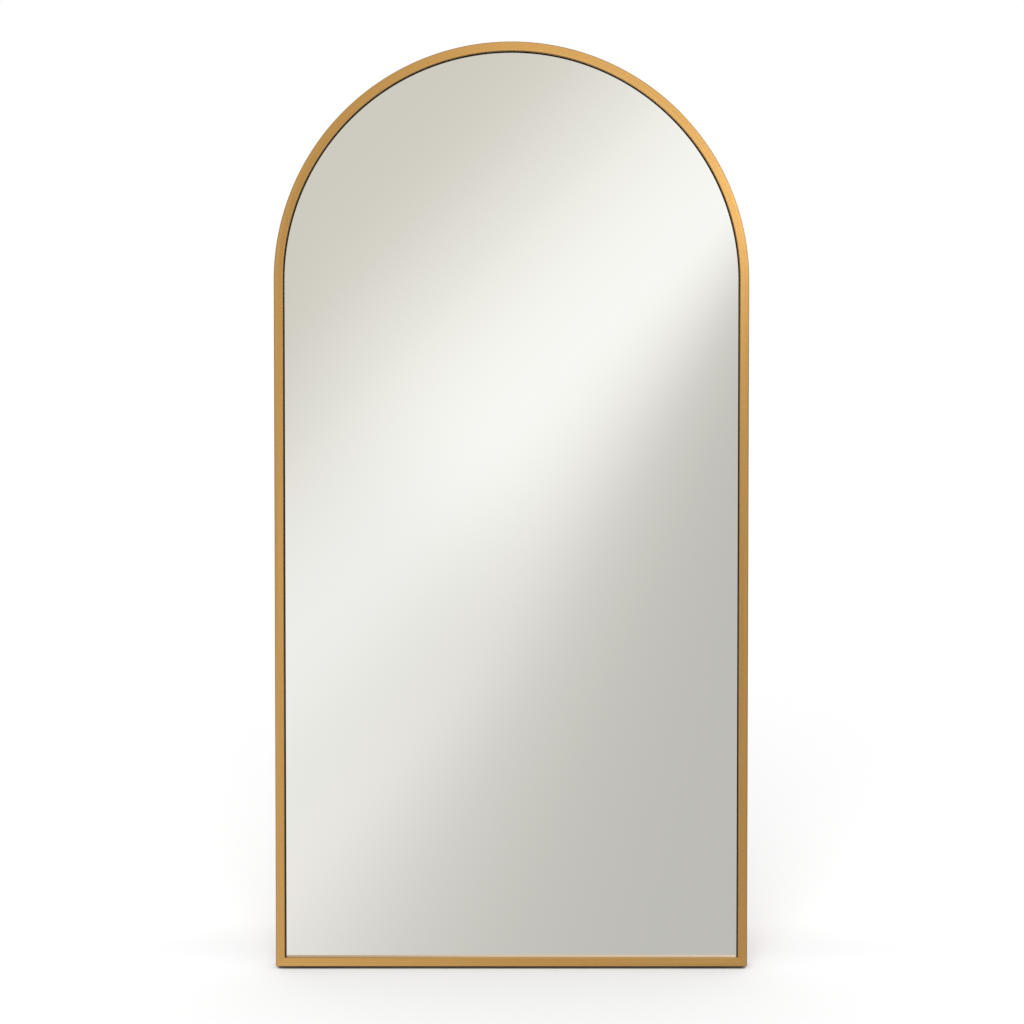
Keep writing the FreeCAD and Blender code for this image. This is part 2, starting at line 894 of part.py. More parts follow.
def floor_pads():
    """Rubber wedges under the bottom rail. Their undersides lie flat on the floor."""
    body = new_body("floor_pads")
    front = size["pad_front"]
    back = size["frame_depth"] - size["rear_edge_round"]
    lean = size["lean_angle"]

    def floor_under(depth):
        return (depth * sine(lean) - frame_lift) / cosine(lean)

    for sign in (-1, 1):
        centre = (half_width - size["pad_inset"] - size["pad_length"] / 2) * sign
        sketch = new_sketch(body, "YZ_Plane", (0, 0, centre))
        draw(sketch, (front, 0), [
            (front, floor_under(front)),
            (back, floor_under(back)),
            (back, 0),
            (front, 0),
        ])
        pad(body, sketch, size["pad_length"], both_ways=True)
    return place_in_panel(body)


# ---------------------------------------------------------------------------------------------------------
# The hinge


def bracket_screw_places(sign):
    for step_x in (-1, 1):
        for step_z in (-1, 1):
            across = size["leg_spread"] / 2 * sign + size["bracket_screw_pitch_x"] / 2 * step_x
            yield across, stand_rail_level + size["bracket_screw_pitch_z"] / 2 * step_z


def hinge_bracket(label, sign):
    """A base plate on the stand rail with two ears that hold the pin."""
    body = new_body(label)
    centre = size["leg_spread"] / 2 * sign
    level = stand_rail_level
    half = size["bracket_width"] / 2
    rise = size["bracket_height"] / 2
    base = new_sketch(body, "XZ_Plane", (0, 0, -channel_back))
    draw_box(base, centre - half, level - rise, centre + half, level + rise)
    plate = pad(body, base, size["bracket_thickness"])
    plate.Reversed = True
    radius = size["ear_radius"]
    plate_back = channel_back + size["bracket_thickness"]
    for step in (-1, 1):
        ear_middle = centre + (size["ear_gap"] + size["bracket_thickness"]) / 2 * step
        ear = new_sketch(body, "YZ_Plane", (0, 0, ear_middle))
        draw(ear, (plate_back, level - radius), [
            (hinge_depth, level - radius),
            (hinge_depth + radius, level, radius, 1),
            (hinge_depth, level + radius, radius, 1),
            (plate_back, level + radius),
            (plate_back, level - radius),
        ])
        pad(body, ear, size["bracket_thickness"], both_ways=True)
    eye = new_sketch(body, "YZ_Plane")
    draw_circle(eye, hinge_depth, level, size["pin_size"] / 2 + size["pin_play"])
    cut_through(body, eye)
    holes = new_sketch(body, "XZ_Plane")
    for across, height in bracket_screw_places(sign):
        draw_circle(holes, across, height, screw_hole())
    cut_through(body, holes)
    return place_in_panel(body)


def hinge_bracket_screws():
    body = new_body("hinge_bracket_screws")
    seat = channel_back + size["bracket_thickness"]
    for sign in (-1, 1):
        for across, level in bracket_screw_places(sign):
            add_pan_screw(body, across, level, seat, seat - channel_front)
    return place_in_panel(body)


ear_outside = size["ear_gap"] / 2 + size["bracket_thickness"]


def hinge_pins():
    """Headed pins, head outwards, with a groove for the clip at the inner end."""
    body = new_body("hinge_pins")
    radius = size["pin_size"] / 2
    groove = size["clip_groove"] / 2
    head = size["pin_head"] / 2
    groove_end = ear_outside + size["clip_thickness"]
    for sign in (-1, 1):
        sketch = new_sketch(body, "XY_Plane", (size["leg_spread"] / 2 * sign, hinge_depth, stand_rail_level))
        draw(sketch, ((ear_outside + size["pin_head_thickness"]) * sign, 0), [
            ((ear_outside + size["pin_head_thickness"]) * sign, head),
            (ear_outside * sign, head),
            (ear_outside * sign, radius),
            (-ear_outside * sign, radius),
            (-ear_outside * sign, groove),
            (-groove_end * sign, groove),
            (-groove_end * sign, radius),
            (-(groove_end + size["pin_tail"] / 2) * sign, radius),
            (-(groove_end + size["pin_tail"] / 2) * sign, 0),
            ((ear_outside + size["pin_head_thickness"]) * sign, 0),
        ])
        feature = body.newObject("PartDesign::Revolution", "hinge_pins_turn")
        feature.Profile = sketch
        feature.ReferenceAxis = (sketch, ["H_Axis"])
        feature.Angle = 360
    return place_in_panel(body)


def pin_clips():
    """Snap rings in the pins' grooves."""
    body = new_body("pin_clips")
    for sign in (-1, 1):
        face = size["leg_spread"] / 2 * sign - (ear_outside + size["clip_thickness"] / 2) * sign
        sketch = new_sketch(body, "YZ_Plane", (0, 0, face))
        draw_circle(sketch, hinge_depth, stand_rail_level, size["clip_size"] / 2)
        draw_circle(sketch, hinge_depth, stand_rail_level, size["clip_groove"] / 2 + size["pin_play"])
        pad(body, sketch, size["clip_thickness"], both_ways=True)
    return place_in_panel(body)


# ---------------------------------------------------------------------------------------------------------
# The stand, drawn with the hinge axis at the origin


def stand_tube():
    """One steel tube bent to a U."""
    body = new_body("stand_tube")
    side = size["leg_spread"] / 2
    bend = size["tube_bend"]
    path = new_sketch(body, "XZ_Plane")
    draw(path, (-side, -size["tube_start"]), [
        (-side, -leg_length + bend),
        (-side + bend, -leg_length, bend, 1),
        (side - bend, -leg_length),
        (side, -leg_length + bend, bend, 1),
        (side, -size["tube_start"]),
    ], closed=False)
    section = new_sketch(body, "XY_Plane", (0, 0, -size["tube_start"]))
    draw_circle(section, -side, 0, size["tube_size"] / 2)
    draw_circle(section, -side, 0, size["tube_size"] / 2 - size["tube_wall"])
    sweep(body, section, path)
    rivet_level = -size["tube_start"] - size["rivet_depth"]
    rivet_hole = new_sketch(body, "YZ_Plane")
    draw_circle(rivet_hole, 0, rivet_level, size["rivet_size"] / 2 + size["screw_gap"])
    cut_through(body, rivet_hole)
    return place_in_stand(body)


def stand_ends():
    """Eye fittings: a plug in the tube, a collar on its end, and a blade whose heel stops the stand."""
    body = new_body("stand_ends")
    top = -size["tube_start"]
    collar_top = top + size["collar_height"]
    plug_radius = size["tube_size"] / 2 - size["tube_wall"] - size["plug_gap"]
    for sign in (-1, 1):
        side = size["leg_spread"] / 2 * sign
        plug = new_sketch(body, "XY_Plane", (0, 0, top - size["plug_length"]))
        draw_circle(plug, side, 0, plug_radius)
        pad(body, plug, size["plug_length"])
        collar = new_sketch(body, "XY_Plane", (0, 0, top))
        draw_circle(collar, side, 0, size["tube_size"] / 2)
        pad(body, collar, size["collar_height"])
        blade = new_sketch(body, "YZ_Plane", (0, 0, side))
        draw(blade, (-size["blade_width"] / 2, collar_top), blade_outline(collar_top))
        pad(body, blade, size["blade_thickness"], both_ways=True)
    eye = new_sketch(body, "YZ_Plane")
    draw_circle(eye, 0, 0, size["pin_size"] / 2 + size["pin_play"])
    cut_through(body, eye)
    rivet_hole = new_sketch(body, "YZ_Plane")
    draw_circle(rivet_hole, 0, top - size["rivet_depth"], size["rivet_size"] / 2 + size["screw_gap"])
    cut_through(body, rivet_hole)
    return place_in_stand(body)


def blade_outline(collar_top):
    """Round the blade. The heel is the face that lies flat on the bracket when the stand is open."""
    opening = size["lean_angle"] + size["stand_splay"]
    half = size["blade_width"] / 2

    def on_heel(rise):
        across = -size["pin_standoff"] * cosine(opening) + rise * sine(opening)
        up = size["pin_standoff"] * sine(opening) + rise * cosine(opening)
        return across, up

    heel_start = size["heel_height"] / 8
    _, heel_top = on_heel(size["heel_height"])
    return [
        (half, collar_top),
        (half, heel_top / 2),
        (0, heel_top),
        on_heel(size["heel_height"]),
        on_heel(heel_start),
        (-half, -half / 2),
        (-half, collar_top),
    ]


def stand_rivets():
    body = new_body("stand_rivets")
    level = -size["tube_start"] - size["rivet_depth"]
    radius = size["rivet_size"] / 2
    head = size["rivet_head"] / 2
    seat = size["tube_size"] / 2
    end = seat + size["rivet_head_height"]
    for sign in (-1, 1):
        sketch = new_sketch(body, "XZ_Plane", (size["leg_spread"] / 2 * sign, level, 0))
        draw(sketch, (-end, 0), [
            (end, 0),
            (end, head / 2),
            (seat, head),
            (seat, radius),
            (-seat, radius),
            (-seat, head),
            (-end, head / 2),
            (-end, 0),
        ])
        feature = body.newObject("PartDesign::Revolution", "stand_rivets_turn")
        feature.Profile = sketch
        feature.ReferenceAxis = (sketch, ["H_Axis"])
        feature.Angle = 360
    return place_in_stand(body)


def stand_sleeves():
    """Rubber sleeves on the bottom run, which is all that the stand stands on."""
    body = new_body("stand_sleeves")
    for sign in (-1, 1):
        sketch = new_sketch(body, "YZ_Plane", (0, 0, size["sleeve_spread"] / 2 * sign))
        draw_circle(sketch, 0, -leg_length, sleeve_radius)
        draw_circle(sketch, 0, -leg_length, size["tube_size"] / 2 + size["sleeve_gap"])
        pad(body, sketch, size["sleeve_length"], both_ways=True)
    return place_in_stand(body)


# ---------------------------------------------------------------------------------------------------------
# Every piece, in the order that the mirror is put together


def build():
    strap_holes = list(strap_screw_places()) + list(tether_screw_places())
    bracket_holes = [place for sign in (-1, 1) for place in bracket_screw_places(sign)]
    return [
        hoop_rail(),
        bottom_rail(),
        corner_keys(),
        corner_plates(),
        corner_plate_screws(),
        front_gasket(),
        arched_sheet("mirror_glass", glass_front, size["glass_thickness"], sheet_edge),
        arched_sheet("safety_film", glass_back, size["film_thickness"], sheet_edge),
        arched_sheet("backing_board", film_back, size["board_thickness"], sheet_edge),
        packing_strips(),
        setting_blocks(),
        cross_bar("hanger_rail", hanger_rail_level, strap_holes),
        cross_bar("stand_rail", stand_rail_level, bracket_holes),
        cross_bar("lower_rail", lower_rail_level, []),
        rail_screws(),
        hanger_straps(),
        hanger_screws(),
        hanger_ring("hanger_ring_left", -1),
        hanger_ring("hanger_ring_right", 1),
        tether_tab(),
        tether_screws(),
        wall_bumpers(),
        floor_pads(),
        hinge_bracket("hinge_bracket_left", -1),
        hinge_bracket("hinge_bracket_right", 1),
        hinge_bracket_screws(),
        hinge_pins(),
        pin_clips(),
        stand_tube(),
        stand_ends(),
        stand_rivets(),
        stand_sleeves(),
    ]


def check(bodies):
    """Stops before anything is written if a feature failed or a piece is not a sound solid."""
    for item in doc.Objects:
        if any(state in ("Invalid", "Error") for state in item.State):
            raise RuntimeError(f"{item.Name} failed: {item.State}")
    for body in bodies:
        if body.Shape.isNull() or not body.Shape.isValid() or not body.Shape.Solids:
            raise RuntimeError(f"{body.Label} is not a sound solid")


pieces = build()
doc.recompute()
check(pieces)
os.makedirs("parts", exist_ok=True)
for piece in pieces:
    piece.Shape.exportStep(f"parts/{piece.Label}.step")
    box = piece.Shape.BoundBox
    print(f"{piece.Label}: {len(piece.Shape.Solids)} solids, {piece.Shape.Volume:.0f} mm3, "
          f"x {box.XMin:.1f} {box.XMax:.1f}, y {box.YMin:.1f} {box.YMax:.1f}, "
          f"z {box.ZMin:.1f} {box.ZMax:.1f}")
print(f"leg length {leg_length.number:.2f}, hinge at y {hinge_back.number - middle_depth.number:.3f}, "
      f"z {hinge_level.number:.3f}")
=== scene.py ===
import json
import math

import bmesh
import bpy
from mathutils import Matrix, Vector


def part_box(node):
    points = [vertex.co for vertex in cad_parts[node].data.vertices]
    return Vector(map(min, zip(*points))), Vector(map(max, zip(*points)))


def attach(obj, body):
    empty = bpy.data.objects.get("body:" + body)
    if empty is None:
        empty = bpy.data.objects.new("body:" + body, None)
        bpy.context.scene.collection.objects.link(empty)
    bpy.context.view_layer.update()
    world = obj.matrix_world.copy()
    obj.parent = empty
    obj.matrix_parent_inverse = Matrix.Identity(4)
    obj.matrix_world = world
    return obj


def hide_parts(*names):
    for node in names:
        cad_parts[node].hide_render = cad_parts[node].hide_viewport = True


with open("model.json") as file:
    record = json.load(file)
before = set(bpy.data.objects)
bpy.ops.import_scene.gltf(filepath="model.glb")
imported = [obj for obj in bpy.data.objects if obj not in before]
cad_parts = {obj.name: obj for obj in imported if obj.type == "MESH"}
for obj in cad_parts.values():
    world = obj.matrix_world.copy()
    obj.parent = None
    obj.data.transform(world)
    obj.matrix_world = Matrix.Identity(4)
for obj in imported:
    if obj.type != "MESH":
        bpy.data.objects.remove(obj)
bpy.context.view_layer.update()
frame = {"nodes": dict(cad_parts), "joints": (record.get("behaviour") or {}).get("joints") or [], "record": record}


# ---------------------------------------------------------------------------------------------------------
# The hoop: one length of hollow aluminium section, bent to the arch and cut to a mitre at both feet.
# Brushed along its length and anodised gold. Everything else hangs on it, so its axes are found first:
# across the mirror, back from its face, and up along its lean.

tether_hole = next(mount for mount in frame["record"]["mounts"] if mount["name"] == "tether_hole")
UP = Vector(tether_hole["axis"]).normalized()
ACROSS = Vector((1.0, 0.0, 0.0))
BACK = UP.cross(ACROSS)
LEAN = math.atan2(UP.y, UP.z)


def corners(name):
    """The lowest and highest corner of a CAD node, measured across, back and up along the lean."""
    places = [(p.co.dot(ACROSS), p.co.dot(BACK), p.co.dot(UP)) for p in frame["nodes"][name].data.vertices]
    low = Vector(min(place[i] for place in places) for i in range(3)) - foot
    high = Vector(max(place[i] for place in places) for i in range(3)) - foot
    return low, high


# The middle of the foot's front edge, from which all places on the leaning panel are measured. It is found
# with the room's own origin standing in for it.
foot = Vector((0.0, 0.0, 0.0))
foot = Vector((0.0, *corners("bottom_rail")[0].yz))
to_room = Matrix((ACROSS, BACK, UP)).transposed().to_4x4()
to_room.translation = to_room @ foot

HALF_WIDTH = corners("hoop_rail")[1].x
SPRING_LEVEL = corners("hoop_rail")[1].z - HALF_WIDTH
FRAME_DEPTH = corners("hoop_rail")[1].y
FACE_WIDTH = corners("bottom_rail")[1].z
WALL = corners("setting_blocks")[0].z
REVEAL = corners("front_gasket")[0].y
SLOT_BACK = corners("packing_strips")[1].y
CHANNEL_FRONT = corners("hanger_rail")[0].y
CHANNEL_BACK = corners("hanger_rail")[1].y
LIP_WIDTH = 0.012
FRONT_ROUND = 0.0015
REAR_ROUND = 0.0008
LIP_ROUND = 0.0004
CORNER_ROUND = 0.0035
ARCH_STEPS = 180
FLAT_HOLD = 0.0003
SAME_POINT = 1e-7
SMOOTH_UP_TO = math.radians(32)


def rounded(points, radii, steps=5, hold=0.0):
    """The closed outline through points given as (x, y), with each corner rounded by its radius. A hold
    adds a point that far before and after each round, which keeps the flats between them flat."""
    outline = []
    for i, (point, radius) in enumerate(zip(points, radii)):
        here = Vector(point)
        before = (Vector(points[i - 1]) - here).normalized()
        after = (Vector(points[(i + 1) % len(points)]) - here).normalized()
        if radius == 0.0:
            outline.append(here)
            continue
        half_turn = before.angle(after) / 2
        middle = here + (before + after).normalized() * (radius / math.sin(half_turn))
        start = here + before * (radius / math.tan(half_turn)) - middle
        end = here + after * (radius / math.tan(half_turn)) - middle
        sweep = start.angle_signed(end, 0.0)
        if hold:
            outline.append(middle + start + before * hold)
        for step in range(steps + 1):
            turned = start.copy()
            turned.rotate(Matrix.Rotation(-sweep * step / steps, 2))
            outline.append(middle + turned)
        if hold:
            outline.append(middle + end + after * hold)
    return outline


# The section from outside in: how far inwards from the outer edge, and how far back from the face
FRAME_SECTION = rounded(
    [(0.0, 0.0), (FACE_WIDTH, 0.0), (FACE_WIDTH, REVEAL), (WALL, REVEAL), (WALL, SLOT_BACK),
     (LIP_WIDTH, SLOT_BACK), (LIP_WIDTH, CHANNEL_FRONT), (WALL, CHANNEL_FRONT), (WALL, CHANNEL_BACK),
     (LIP_WIDTH, CHANNEL_BACK), (LIP_WIDTH, FRAME_DEPTH), (0.0, FRAME_DEPTH)],
    [FRONT_ROUND, FRONT_ROUND, LIP_ROUND, 0.0, 0.0,
     LIP_ROUND, LIP_ROUND, 0.0, 0.0,
     LIP_ROUND, LIP_ROUND, REAR_ROUND], hold=FLAT_HOLD)


def past_corner(inwards):
    """Where a line of the section ends at the mitre, once the corner's outer tip is rounded."""
    tip = CORNER_ROUND * (1 - math.sqrt(0.5))
    return inwards + tip * max(0.0, 1 - inwards / CORNER_ROUND)


def corner_inset(rise):
    """How far the rounded corner lies inside the outer edge, at that height above the foot."""
    below = max(0.0, CORNER_ROUND - rise)
    return CORNER_ROUND - math.sqrt(max(0.0, CORNER_ROUND ** 2 - below ** 2))


def corner_place(inwards, share):
    """A point of the section between the last straight ring (share 0) and the mitre (share 1)."""
    straight = 2 * FACE_WIDTH
    rise = straight + (past_corner(inwards) - straight) * share
    outer_rise = straight + (past_corner(0.0) - straight) * share
    inset = inwards + corner_inset(outer_rise) * max(0.0, 1 - inwards / CORNER_ROUND)
    return inset, rise


CORNER_SHARES = [0.0, 0.5, 0.8, 0.925, 0.945, 0.96, 0.972, 0.982, 0.992, 1.0]


def hoop_ring(station):
    """The section's points at one station of the hoop, as (across, up) for each of them."""
    kind, side, amount = station
    ring = []
    for inwards, _ in FRAME_SECTION:
        if kind == "corner":
            inset, rise = corner_place(inwards, amount)
            ring.append(((HALF_WIDTH - inset) * side, rise))
        elif kind == "leg":
            ring.append(((HALF_WIDTH - inwards) * side, amount))
        else:
            reach = HALF_WIDTH - inwards
            ring.append((-reach * math.cos(amount), SPRING_LEVEL + reach * math.sin(amount)))
    return ring


def tube_mesh(name, rings, run, around, closed_run=False):
    """Skins rings of points. The UV map holds metres along the run and metres around the section."""
    mesh = bpy.data.meshes.new(name)
    count = len(rings[0])
    faces = []
    spots = []
    for i in range(len(rings) if closed_run else len(rings) - 1):
        for j in range(count):
            quad = [(i, j), (i, j + 1), (i + 1, j + 1), (i + 1, j)]
            faces.append([(a % len(rings)) * count + b % count for a, b in quad])
            spots += [(run[a], around[b]) for a, b in quad]
    if not closed_run:
        for i, order in ((0, range(count - 1, -1, -1)), (len(rings) - 1, range(count))):
            faces.append([i * count + j for j in order])
            spots += [(run[i], around[j]) for j in order]
    mesh.from_pydata([point for ring in rings for point in ring], [], faces)
    uv = mesh.uv_layers.new(name="UVMap")
    uv.uv.foreach_set("vector", [value for spot in spots for value in spot])
    return mesh


def distances(points):
    """Metres along a line of points, from its first one."""
    total = [0.0]
    for before, after in zip(points, points[1:]):
        total.append(total[-1] + (Vector(after) - Vector(before)).length)
    return total


def finish_mesh(mesh):
    """Merges doubles, turns the faces outwards and shades them smooth between sharp edges."""
    work = bmesh.new()
    work.from_mesh(mesh)
    bmesh.ops.remove_doubles(work, verts=work.verts, dist=SAME_POINT)
    bmesh.ops.recalc_face_normals(work, faces=work.faces)
    work.to_mesh(mesh)
    work.free()
    mesh.shade_smooth()
    mesh.set_sharp_from_angle(angle=SMOOTH_UP_TO)
    return mesh


def place_piece(mesh, node_name, material, body="panel"):
    """Puts a finished mesh in the scene in place of its CAD node."""
    piece = bpy.data.objects.new(mesh.name, mesh)
    bpy.context.scene.collection.objects.link(piece)
    piece.data.materials.clear()
    piece.data.materials.append(material)
    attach(piece, body)
    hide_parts(node_name)
    return piece


def node(tree, kind, inputs=(), **settings):
    """One node of a tree. An input is given by name or number, as a value or as an output to link to."""
    made = tree.nodes.new(kind)
    for name, value in settings.items():
        setattr(made, name, value)
    for name, value in dict(inputs).items():
        if isinstance(value, bpy.types.NodeSocket):
            tree.links.new(value, made.inputs[name])
        else:
            made.inputs[name].default_value = value
    return made


def ramp(tree, factor, stops, **settings):
    """A colour ramp through stops of (place, grey or colour)."""
    made = node(tree, "ShaderNodeValToRGB", {"Fac": factor}, **settings)
    while len(made.color_ramp.elements) < len(stops):
        made.color_ramp.elements.new(1.0)
    for element, (place, tone) in zip(made.color_ramp.elements, stops):
        element.position = place
        element.color = (*tone, 1.0) if isinstance(tone, tuple) else (tone, tone, tone, 1.0)
    return made.outputs["Color"]


def new_material(name, shine):
    """A material with one Principled surface whose constants are set on its own sockets."""
    material = bpy.data.materials.new(name)
    material.use_nodes = True
    surface = material.node_tree.nodes["Principled BSDF"]
    for socket, value in shine.items():
        surface.inputs[socket].default_value = value
    return material, material.node_tree, surface


def gold_finish():
    """Brushed along the section, then anodised and sealed: fine grain, faint streaks, satin gloss."""
    material, tree, surface = new_material("gold_anodised", {
        "Metallic": 1.0, "Anisotropic": 0.6, "Anisotropic Rotation": 0.25,
        "Coat Weight": 0.85, "Coat Roughness": 0.16, "Coat IOR": 1.6})
    uv = node(tree, "ShaderNodeUVMap", uv_map="UVMap").outputs["UV"]
    grain = node(tree, "ShaderNodeMapping", {"Vector": uv, "Scale": (14.0, 5200.0, 1.0)})
    grain = node(tree, "ShaderNodeTexNoise", {
        "Vector": grain.outputs["Vector"], "Scale": 1.0, "Detail": 3.0})
    streak = node(tree, "ShaderNodeMapping", {"Vector": uv, "Scale": (1.6, 260.0, 1.0)})
    streak = node(tree, "ShaderNodeTexNoise", {
        "Vector": streak.outputs["Vector"], "Scale": 1.0, "Detail": 2.0})
    tone = ramp(tree, streak.outputs["Fac"], [(0.3, (0.665, 0.352, 0.083)), (0.7, (0.755, 0.428, 0.113))])
    tree.links.new(tone, surface.inputs["Base Color"])
    rough = ramp(tree, grain.outputs["Fac"], [(0.25, 0.17), (0.75, 0.26)])
    tree.links.new(rough, surface.inputs["Roughness"])
    bump = node(tree, "ShaderNodeBump", {
        "Height": grain.outputs["Fac"], "Strength": 0.12, "Distance": 0.0001})
    tree.links.new(bump.outputs["Normal"], surface.inputs["Normal"])
    tangent = node(tree, "ShaderNodeTangent", direction_type="UV_MAP", uv_map="UVMap")
    tree.links.new(tangent.outputs["Tangent"], surface.inputs["Tangent"])
    return material


gold = gold_finish()

hoop_stations = [("corner", -1, share) for share in reversed(CORNER_SHARES)]
hoop_stations += [("leg", -1, SPRING_LEVEL * share) for share in (0.25, 0.5, 0.75)]
hoop_stations += [("arch", 0, math.pi * step / ARCH_STEPS) for step in range(ARCH_STEPS + 1)]
hoop_stations += [("leg", 1, SPRING_LEVEL * share) for share in (0.75, 0.5, 0.25)]
hoop_stations += [("corner", 1, share) for share in CORNER_SHARES]
hoop_rings = []
for station in hoop_stations:
    ring = [Vector((x, depth, z)) for (x, z), (_, depth) in zip(hoop_ring(station), FRAME_SECTION)]
    hoop_rings.append([to_room @ point for point in ring])
section_run = distances([*FRAME_SECTION, FRAME_SECTION[0]])
hoop_run = distances([ring[0] for ring in hoop_rings])
hoop = finish_mesh(tube_mesh("hoop", hoop_rings, hoop_run, section_run))
place_piece(hoop, "hoop_rail", gold)


# ---------------------------------------------------------------------------------------------------------
# The foot: the same section, mitred to both ends of the hoop. Its face is brushed along its own length.

foot_rings = []
for side, shares in ((-1, list(reversed(CORNER_SHARES))), (1, CORNER_SHARES)):
    for share in shares:
        ring = []
        for inwards, depth in FRAME_SECTION:
            inset, rise = corner_place(inwards, share)
            ring.append(to_room @ Vector(((HALF_WIDTH - rise) * side, depth, inset)))
        foot_rings.append(ring)
foot_mesh = tube_mesh("foot", foot_rings, distances([ring[0] for ring in foot_rings]), section_run)
place_piece(finish_mesh(foot_mesh), "bottom_rail", gold)


# ---------------------------------------------------------------------------------------------------------
# Corner keys and plates: inside each mitre a cast L key sits in the front chamber, and a flat zinc plate
# in the rear channel draws the two lengths together from behind.


def dress(node_name, material):
    """Gives a CAD node whose shape is right its finish."""
    for slot in frame["nodes"][node_name].material_slots:
        slot.material = material


SAME_CAD_POINT = 1e-6
FLAT_UP_TO = math.radians(1.0)
ROUNDED_FROM = math.radians(30)
LEAST_ROUNDS = 1.5
SOFT_SMOOTH_UP_TO = math.radians(40)


def softened(node_name, edge_round):
    """A merged copy of a CAD node's mesh. Its sharp edges that are long enough are rounded off."""
    work = bmesh.new()
    work.from_mesh(frame["nodes"][node_name].data)
    bmesh.ops.remove_doubles(work, verts=work.verts, dist=SAME_CAD_POINT)
    bmesh.ops.dissolve_limit(work, angle_limit=FLAT_UP_TO, verts=work.verts, edges=work.edges)
    sharp = [edge for edge in work.edges if len(edge.link_faces) == 2
             and edge.calc_length() > LEAST_ROUNDS * edge_round
             and edge.calc_face_angle(0.0) > ROUNDED_FROM]
    bmesh.ops.bevel(work, geom=sharp, offset=edge_round, segments=2, profile=0.5, affect="EDGES",
                    clamp_overlap=True)
    bmesh.ops.recalc_face_normals(work, faces=work.faces)
    mesh = bpy.data.meshes.new(node_name + "_soft")
    work.to_mesh(mesh)
    work.free()
    mesh.shade_smooth()
    mesh.set_sharp_from_angle(angle=SOFT_SMOOTH_UP_TO)
    return mesh


def object_place(tree):
    """Where a point of the piece lies, in metres."""
    return node(tree, "ShaderNodeTexCoord").outputs["Object"]


def noise(tree, place, scale, detail=2.0, stretch=(1.0, 1.0, 1.0)):
    """Soft noise at a number of lumps to the metre, stretched along an axis if asked."""
    held = node(tree, "ShaderNodeMapping", {"Vector": place, "Scale": stretch}).outputs["Vector"]
    lumps = node(tree, "ShaderNodeTexNoise", {"Vector": held, "Scale": scale, "Detail": detail})
    return lumps.outputs["Fac"]


def raise_surface(tree, surface, height, strength, distance):
    """Bump from a height, in metres."""
    bump = node(tree, "ShaderNodeBump", {"Height": height, "Strength": strength, "Distance": distance})
    tree.links.new(bump.outputs["Normal"], surface.inputs["Normal"])


def zinc_finish():
    """Bright zinc plate over pressed steel: cool, faintly clouded, finely scratched."""
    material, tree, surface = new_material("zinc_plate", {"Metallic": 1.0})
    place = object_place(tree)
    cloud = noise(tree, place, 60.0, 3.0)
    scratch = noise(tree, place, 900.0, 2.0, (1.0, 1.0, 0.08))
    tree.links.new(ramp(tree, cloud, [(0.3, (0.50, 0.52, 0.55)), (0.5, (0.62, 0.62, 0.62)),
                                      (0.7, (0.68, 0.66, 0.60))]), surface.inputs["Base Color"])
    tree.links.new(ramp(tree, cloud, [(0.3, 0.24), (0.7, 0.40)]), surface.inputs["Roughness"])
    raise_surface(tree, surface, scratch, 0.2, 0.00004)
    return material


def cast_finish():
    """As-cast alloy: matt grey with a sandy skin."""
    material, tree, surface = new_material("cast_alloy", {"Metallic": 1.0})
    grain = noise(tree, object_place(tree), 1600.0, 4.0)
    tree.links.new(ramp(tree, grain, [(0.3, 0.40), (0.7, 0.56)]), surface.inputs["Base Color"])
    tree.links.new(ramp(tree, grain, [(0.3, 0.48), (0.7, 0.62)]), surface.inputs["Roughness"])
    raise_surface(tree, surface, grain, 0.5, 0.0001)
    return material


zinc = zinc_finish()
dress("corner_keys", cast_finish())
place_piece(softened("corner_plates", 0.0004), "corner_plates", zinc)


# ---------------------------------------------------------------------------------------------------------
# The gasket: a black rubber strip that lines the rebate, mitred at the two lower corners. It stands proud
# of the hoop and lies flush along the foot. How far it stands proud and its near-black brown tone are
# painted shade: together they draw the dark line of shade in the reveal round the glass.

GASKET_FRONT, GASKET_BACK = REVEAL, corners("mirror_glass")[0].y
SHEET_EDGE = HALF_WIDTH - corners("mirror_glass")[1].x
# Widened to draw the dark line of shade in the reveal: painted shade
GASKET_PROUD = 0.0018
GASKET_INNER = FACE_WIDTH + GASKET_PROUD
GASKET_ROUND = 0.0003


def rubber_finish(name, tone, grain_scale, rough, gloss):
    """Matt black rubber with a fine moulded grain and a little bloom."""
    material, tree, surface = new_material(name, {"Specular IOR Level": gloss})
    place = object_place(tree)
    grain = noise(tree, place, grain_scale, 3.0)
    bloom = noise(tree, place, 14.0, 2.0)
    worn = tuple(part * 1.8 for part in tone)
    tree.links.new(ramp(tree, bloom, [(0.35, tone), (0.75, worn)]), surface.inputs["Base Color"])
    roughness = ramp(tree, grain, [(0.3, rough - 0.08), (0.7, rough + 0.06)])
    tree.links.new(roughness, surface.inputs["Roughness"])
    raise_surface(tree, surface, grain, 0.35, 0.0001)
    return material


gasket_section = rounded(
    [(SHEET_EDGE, GASKET_FRONT), (GASKET_INNER, GASKET_FRONT), (GASKET_INNER, GASKET_BACK),
     (SHEET_EDGE, GASKET_BACK)], [0.0, GASKET_ROUND, GASKET_ROUND, 0.0], steps=3)


def gasket_corner(side):
    """The section at a lower corner, where the strip narrows to lie flush along the foot."""
    narrowing = (FACE_WIDTH - SHEET_EDGE) / (GASKET_INNER - SHEET_EDGE)
    return [((HALF_WIDTH - inwards) * side, depth, SHEET_EDGE + (inwards - SHEET_EDGE) * narrowing)
            for inwards, depth in gasket_section]


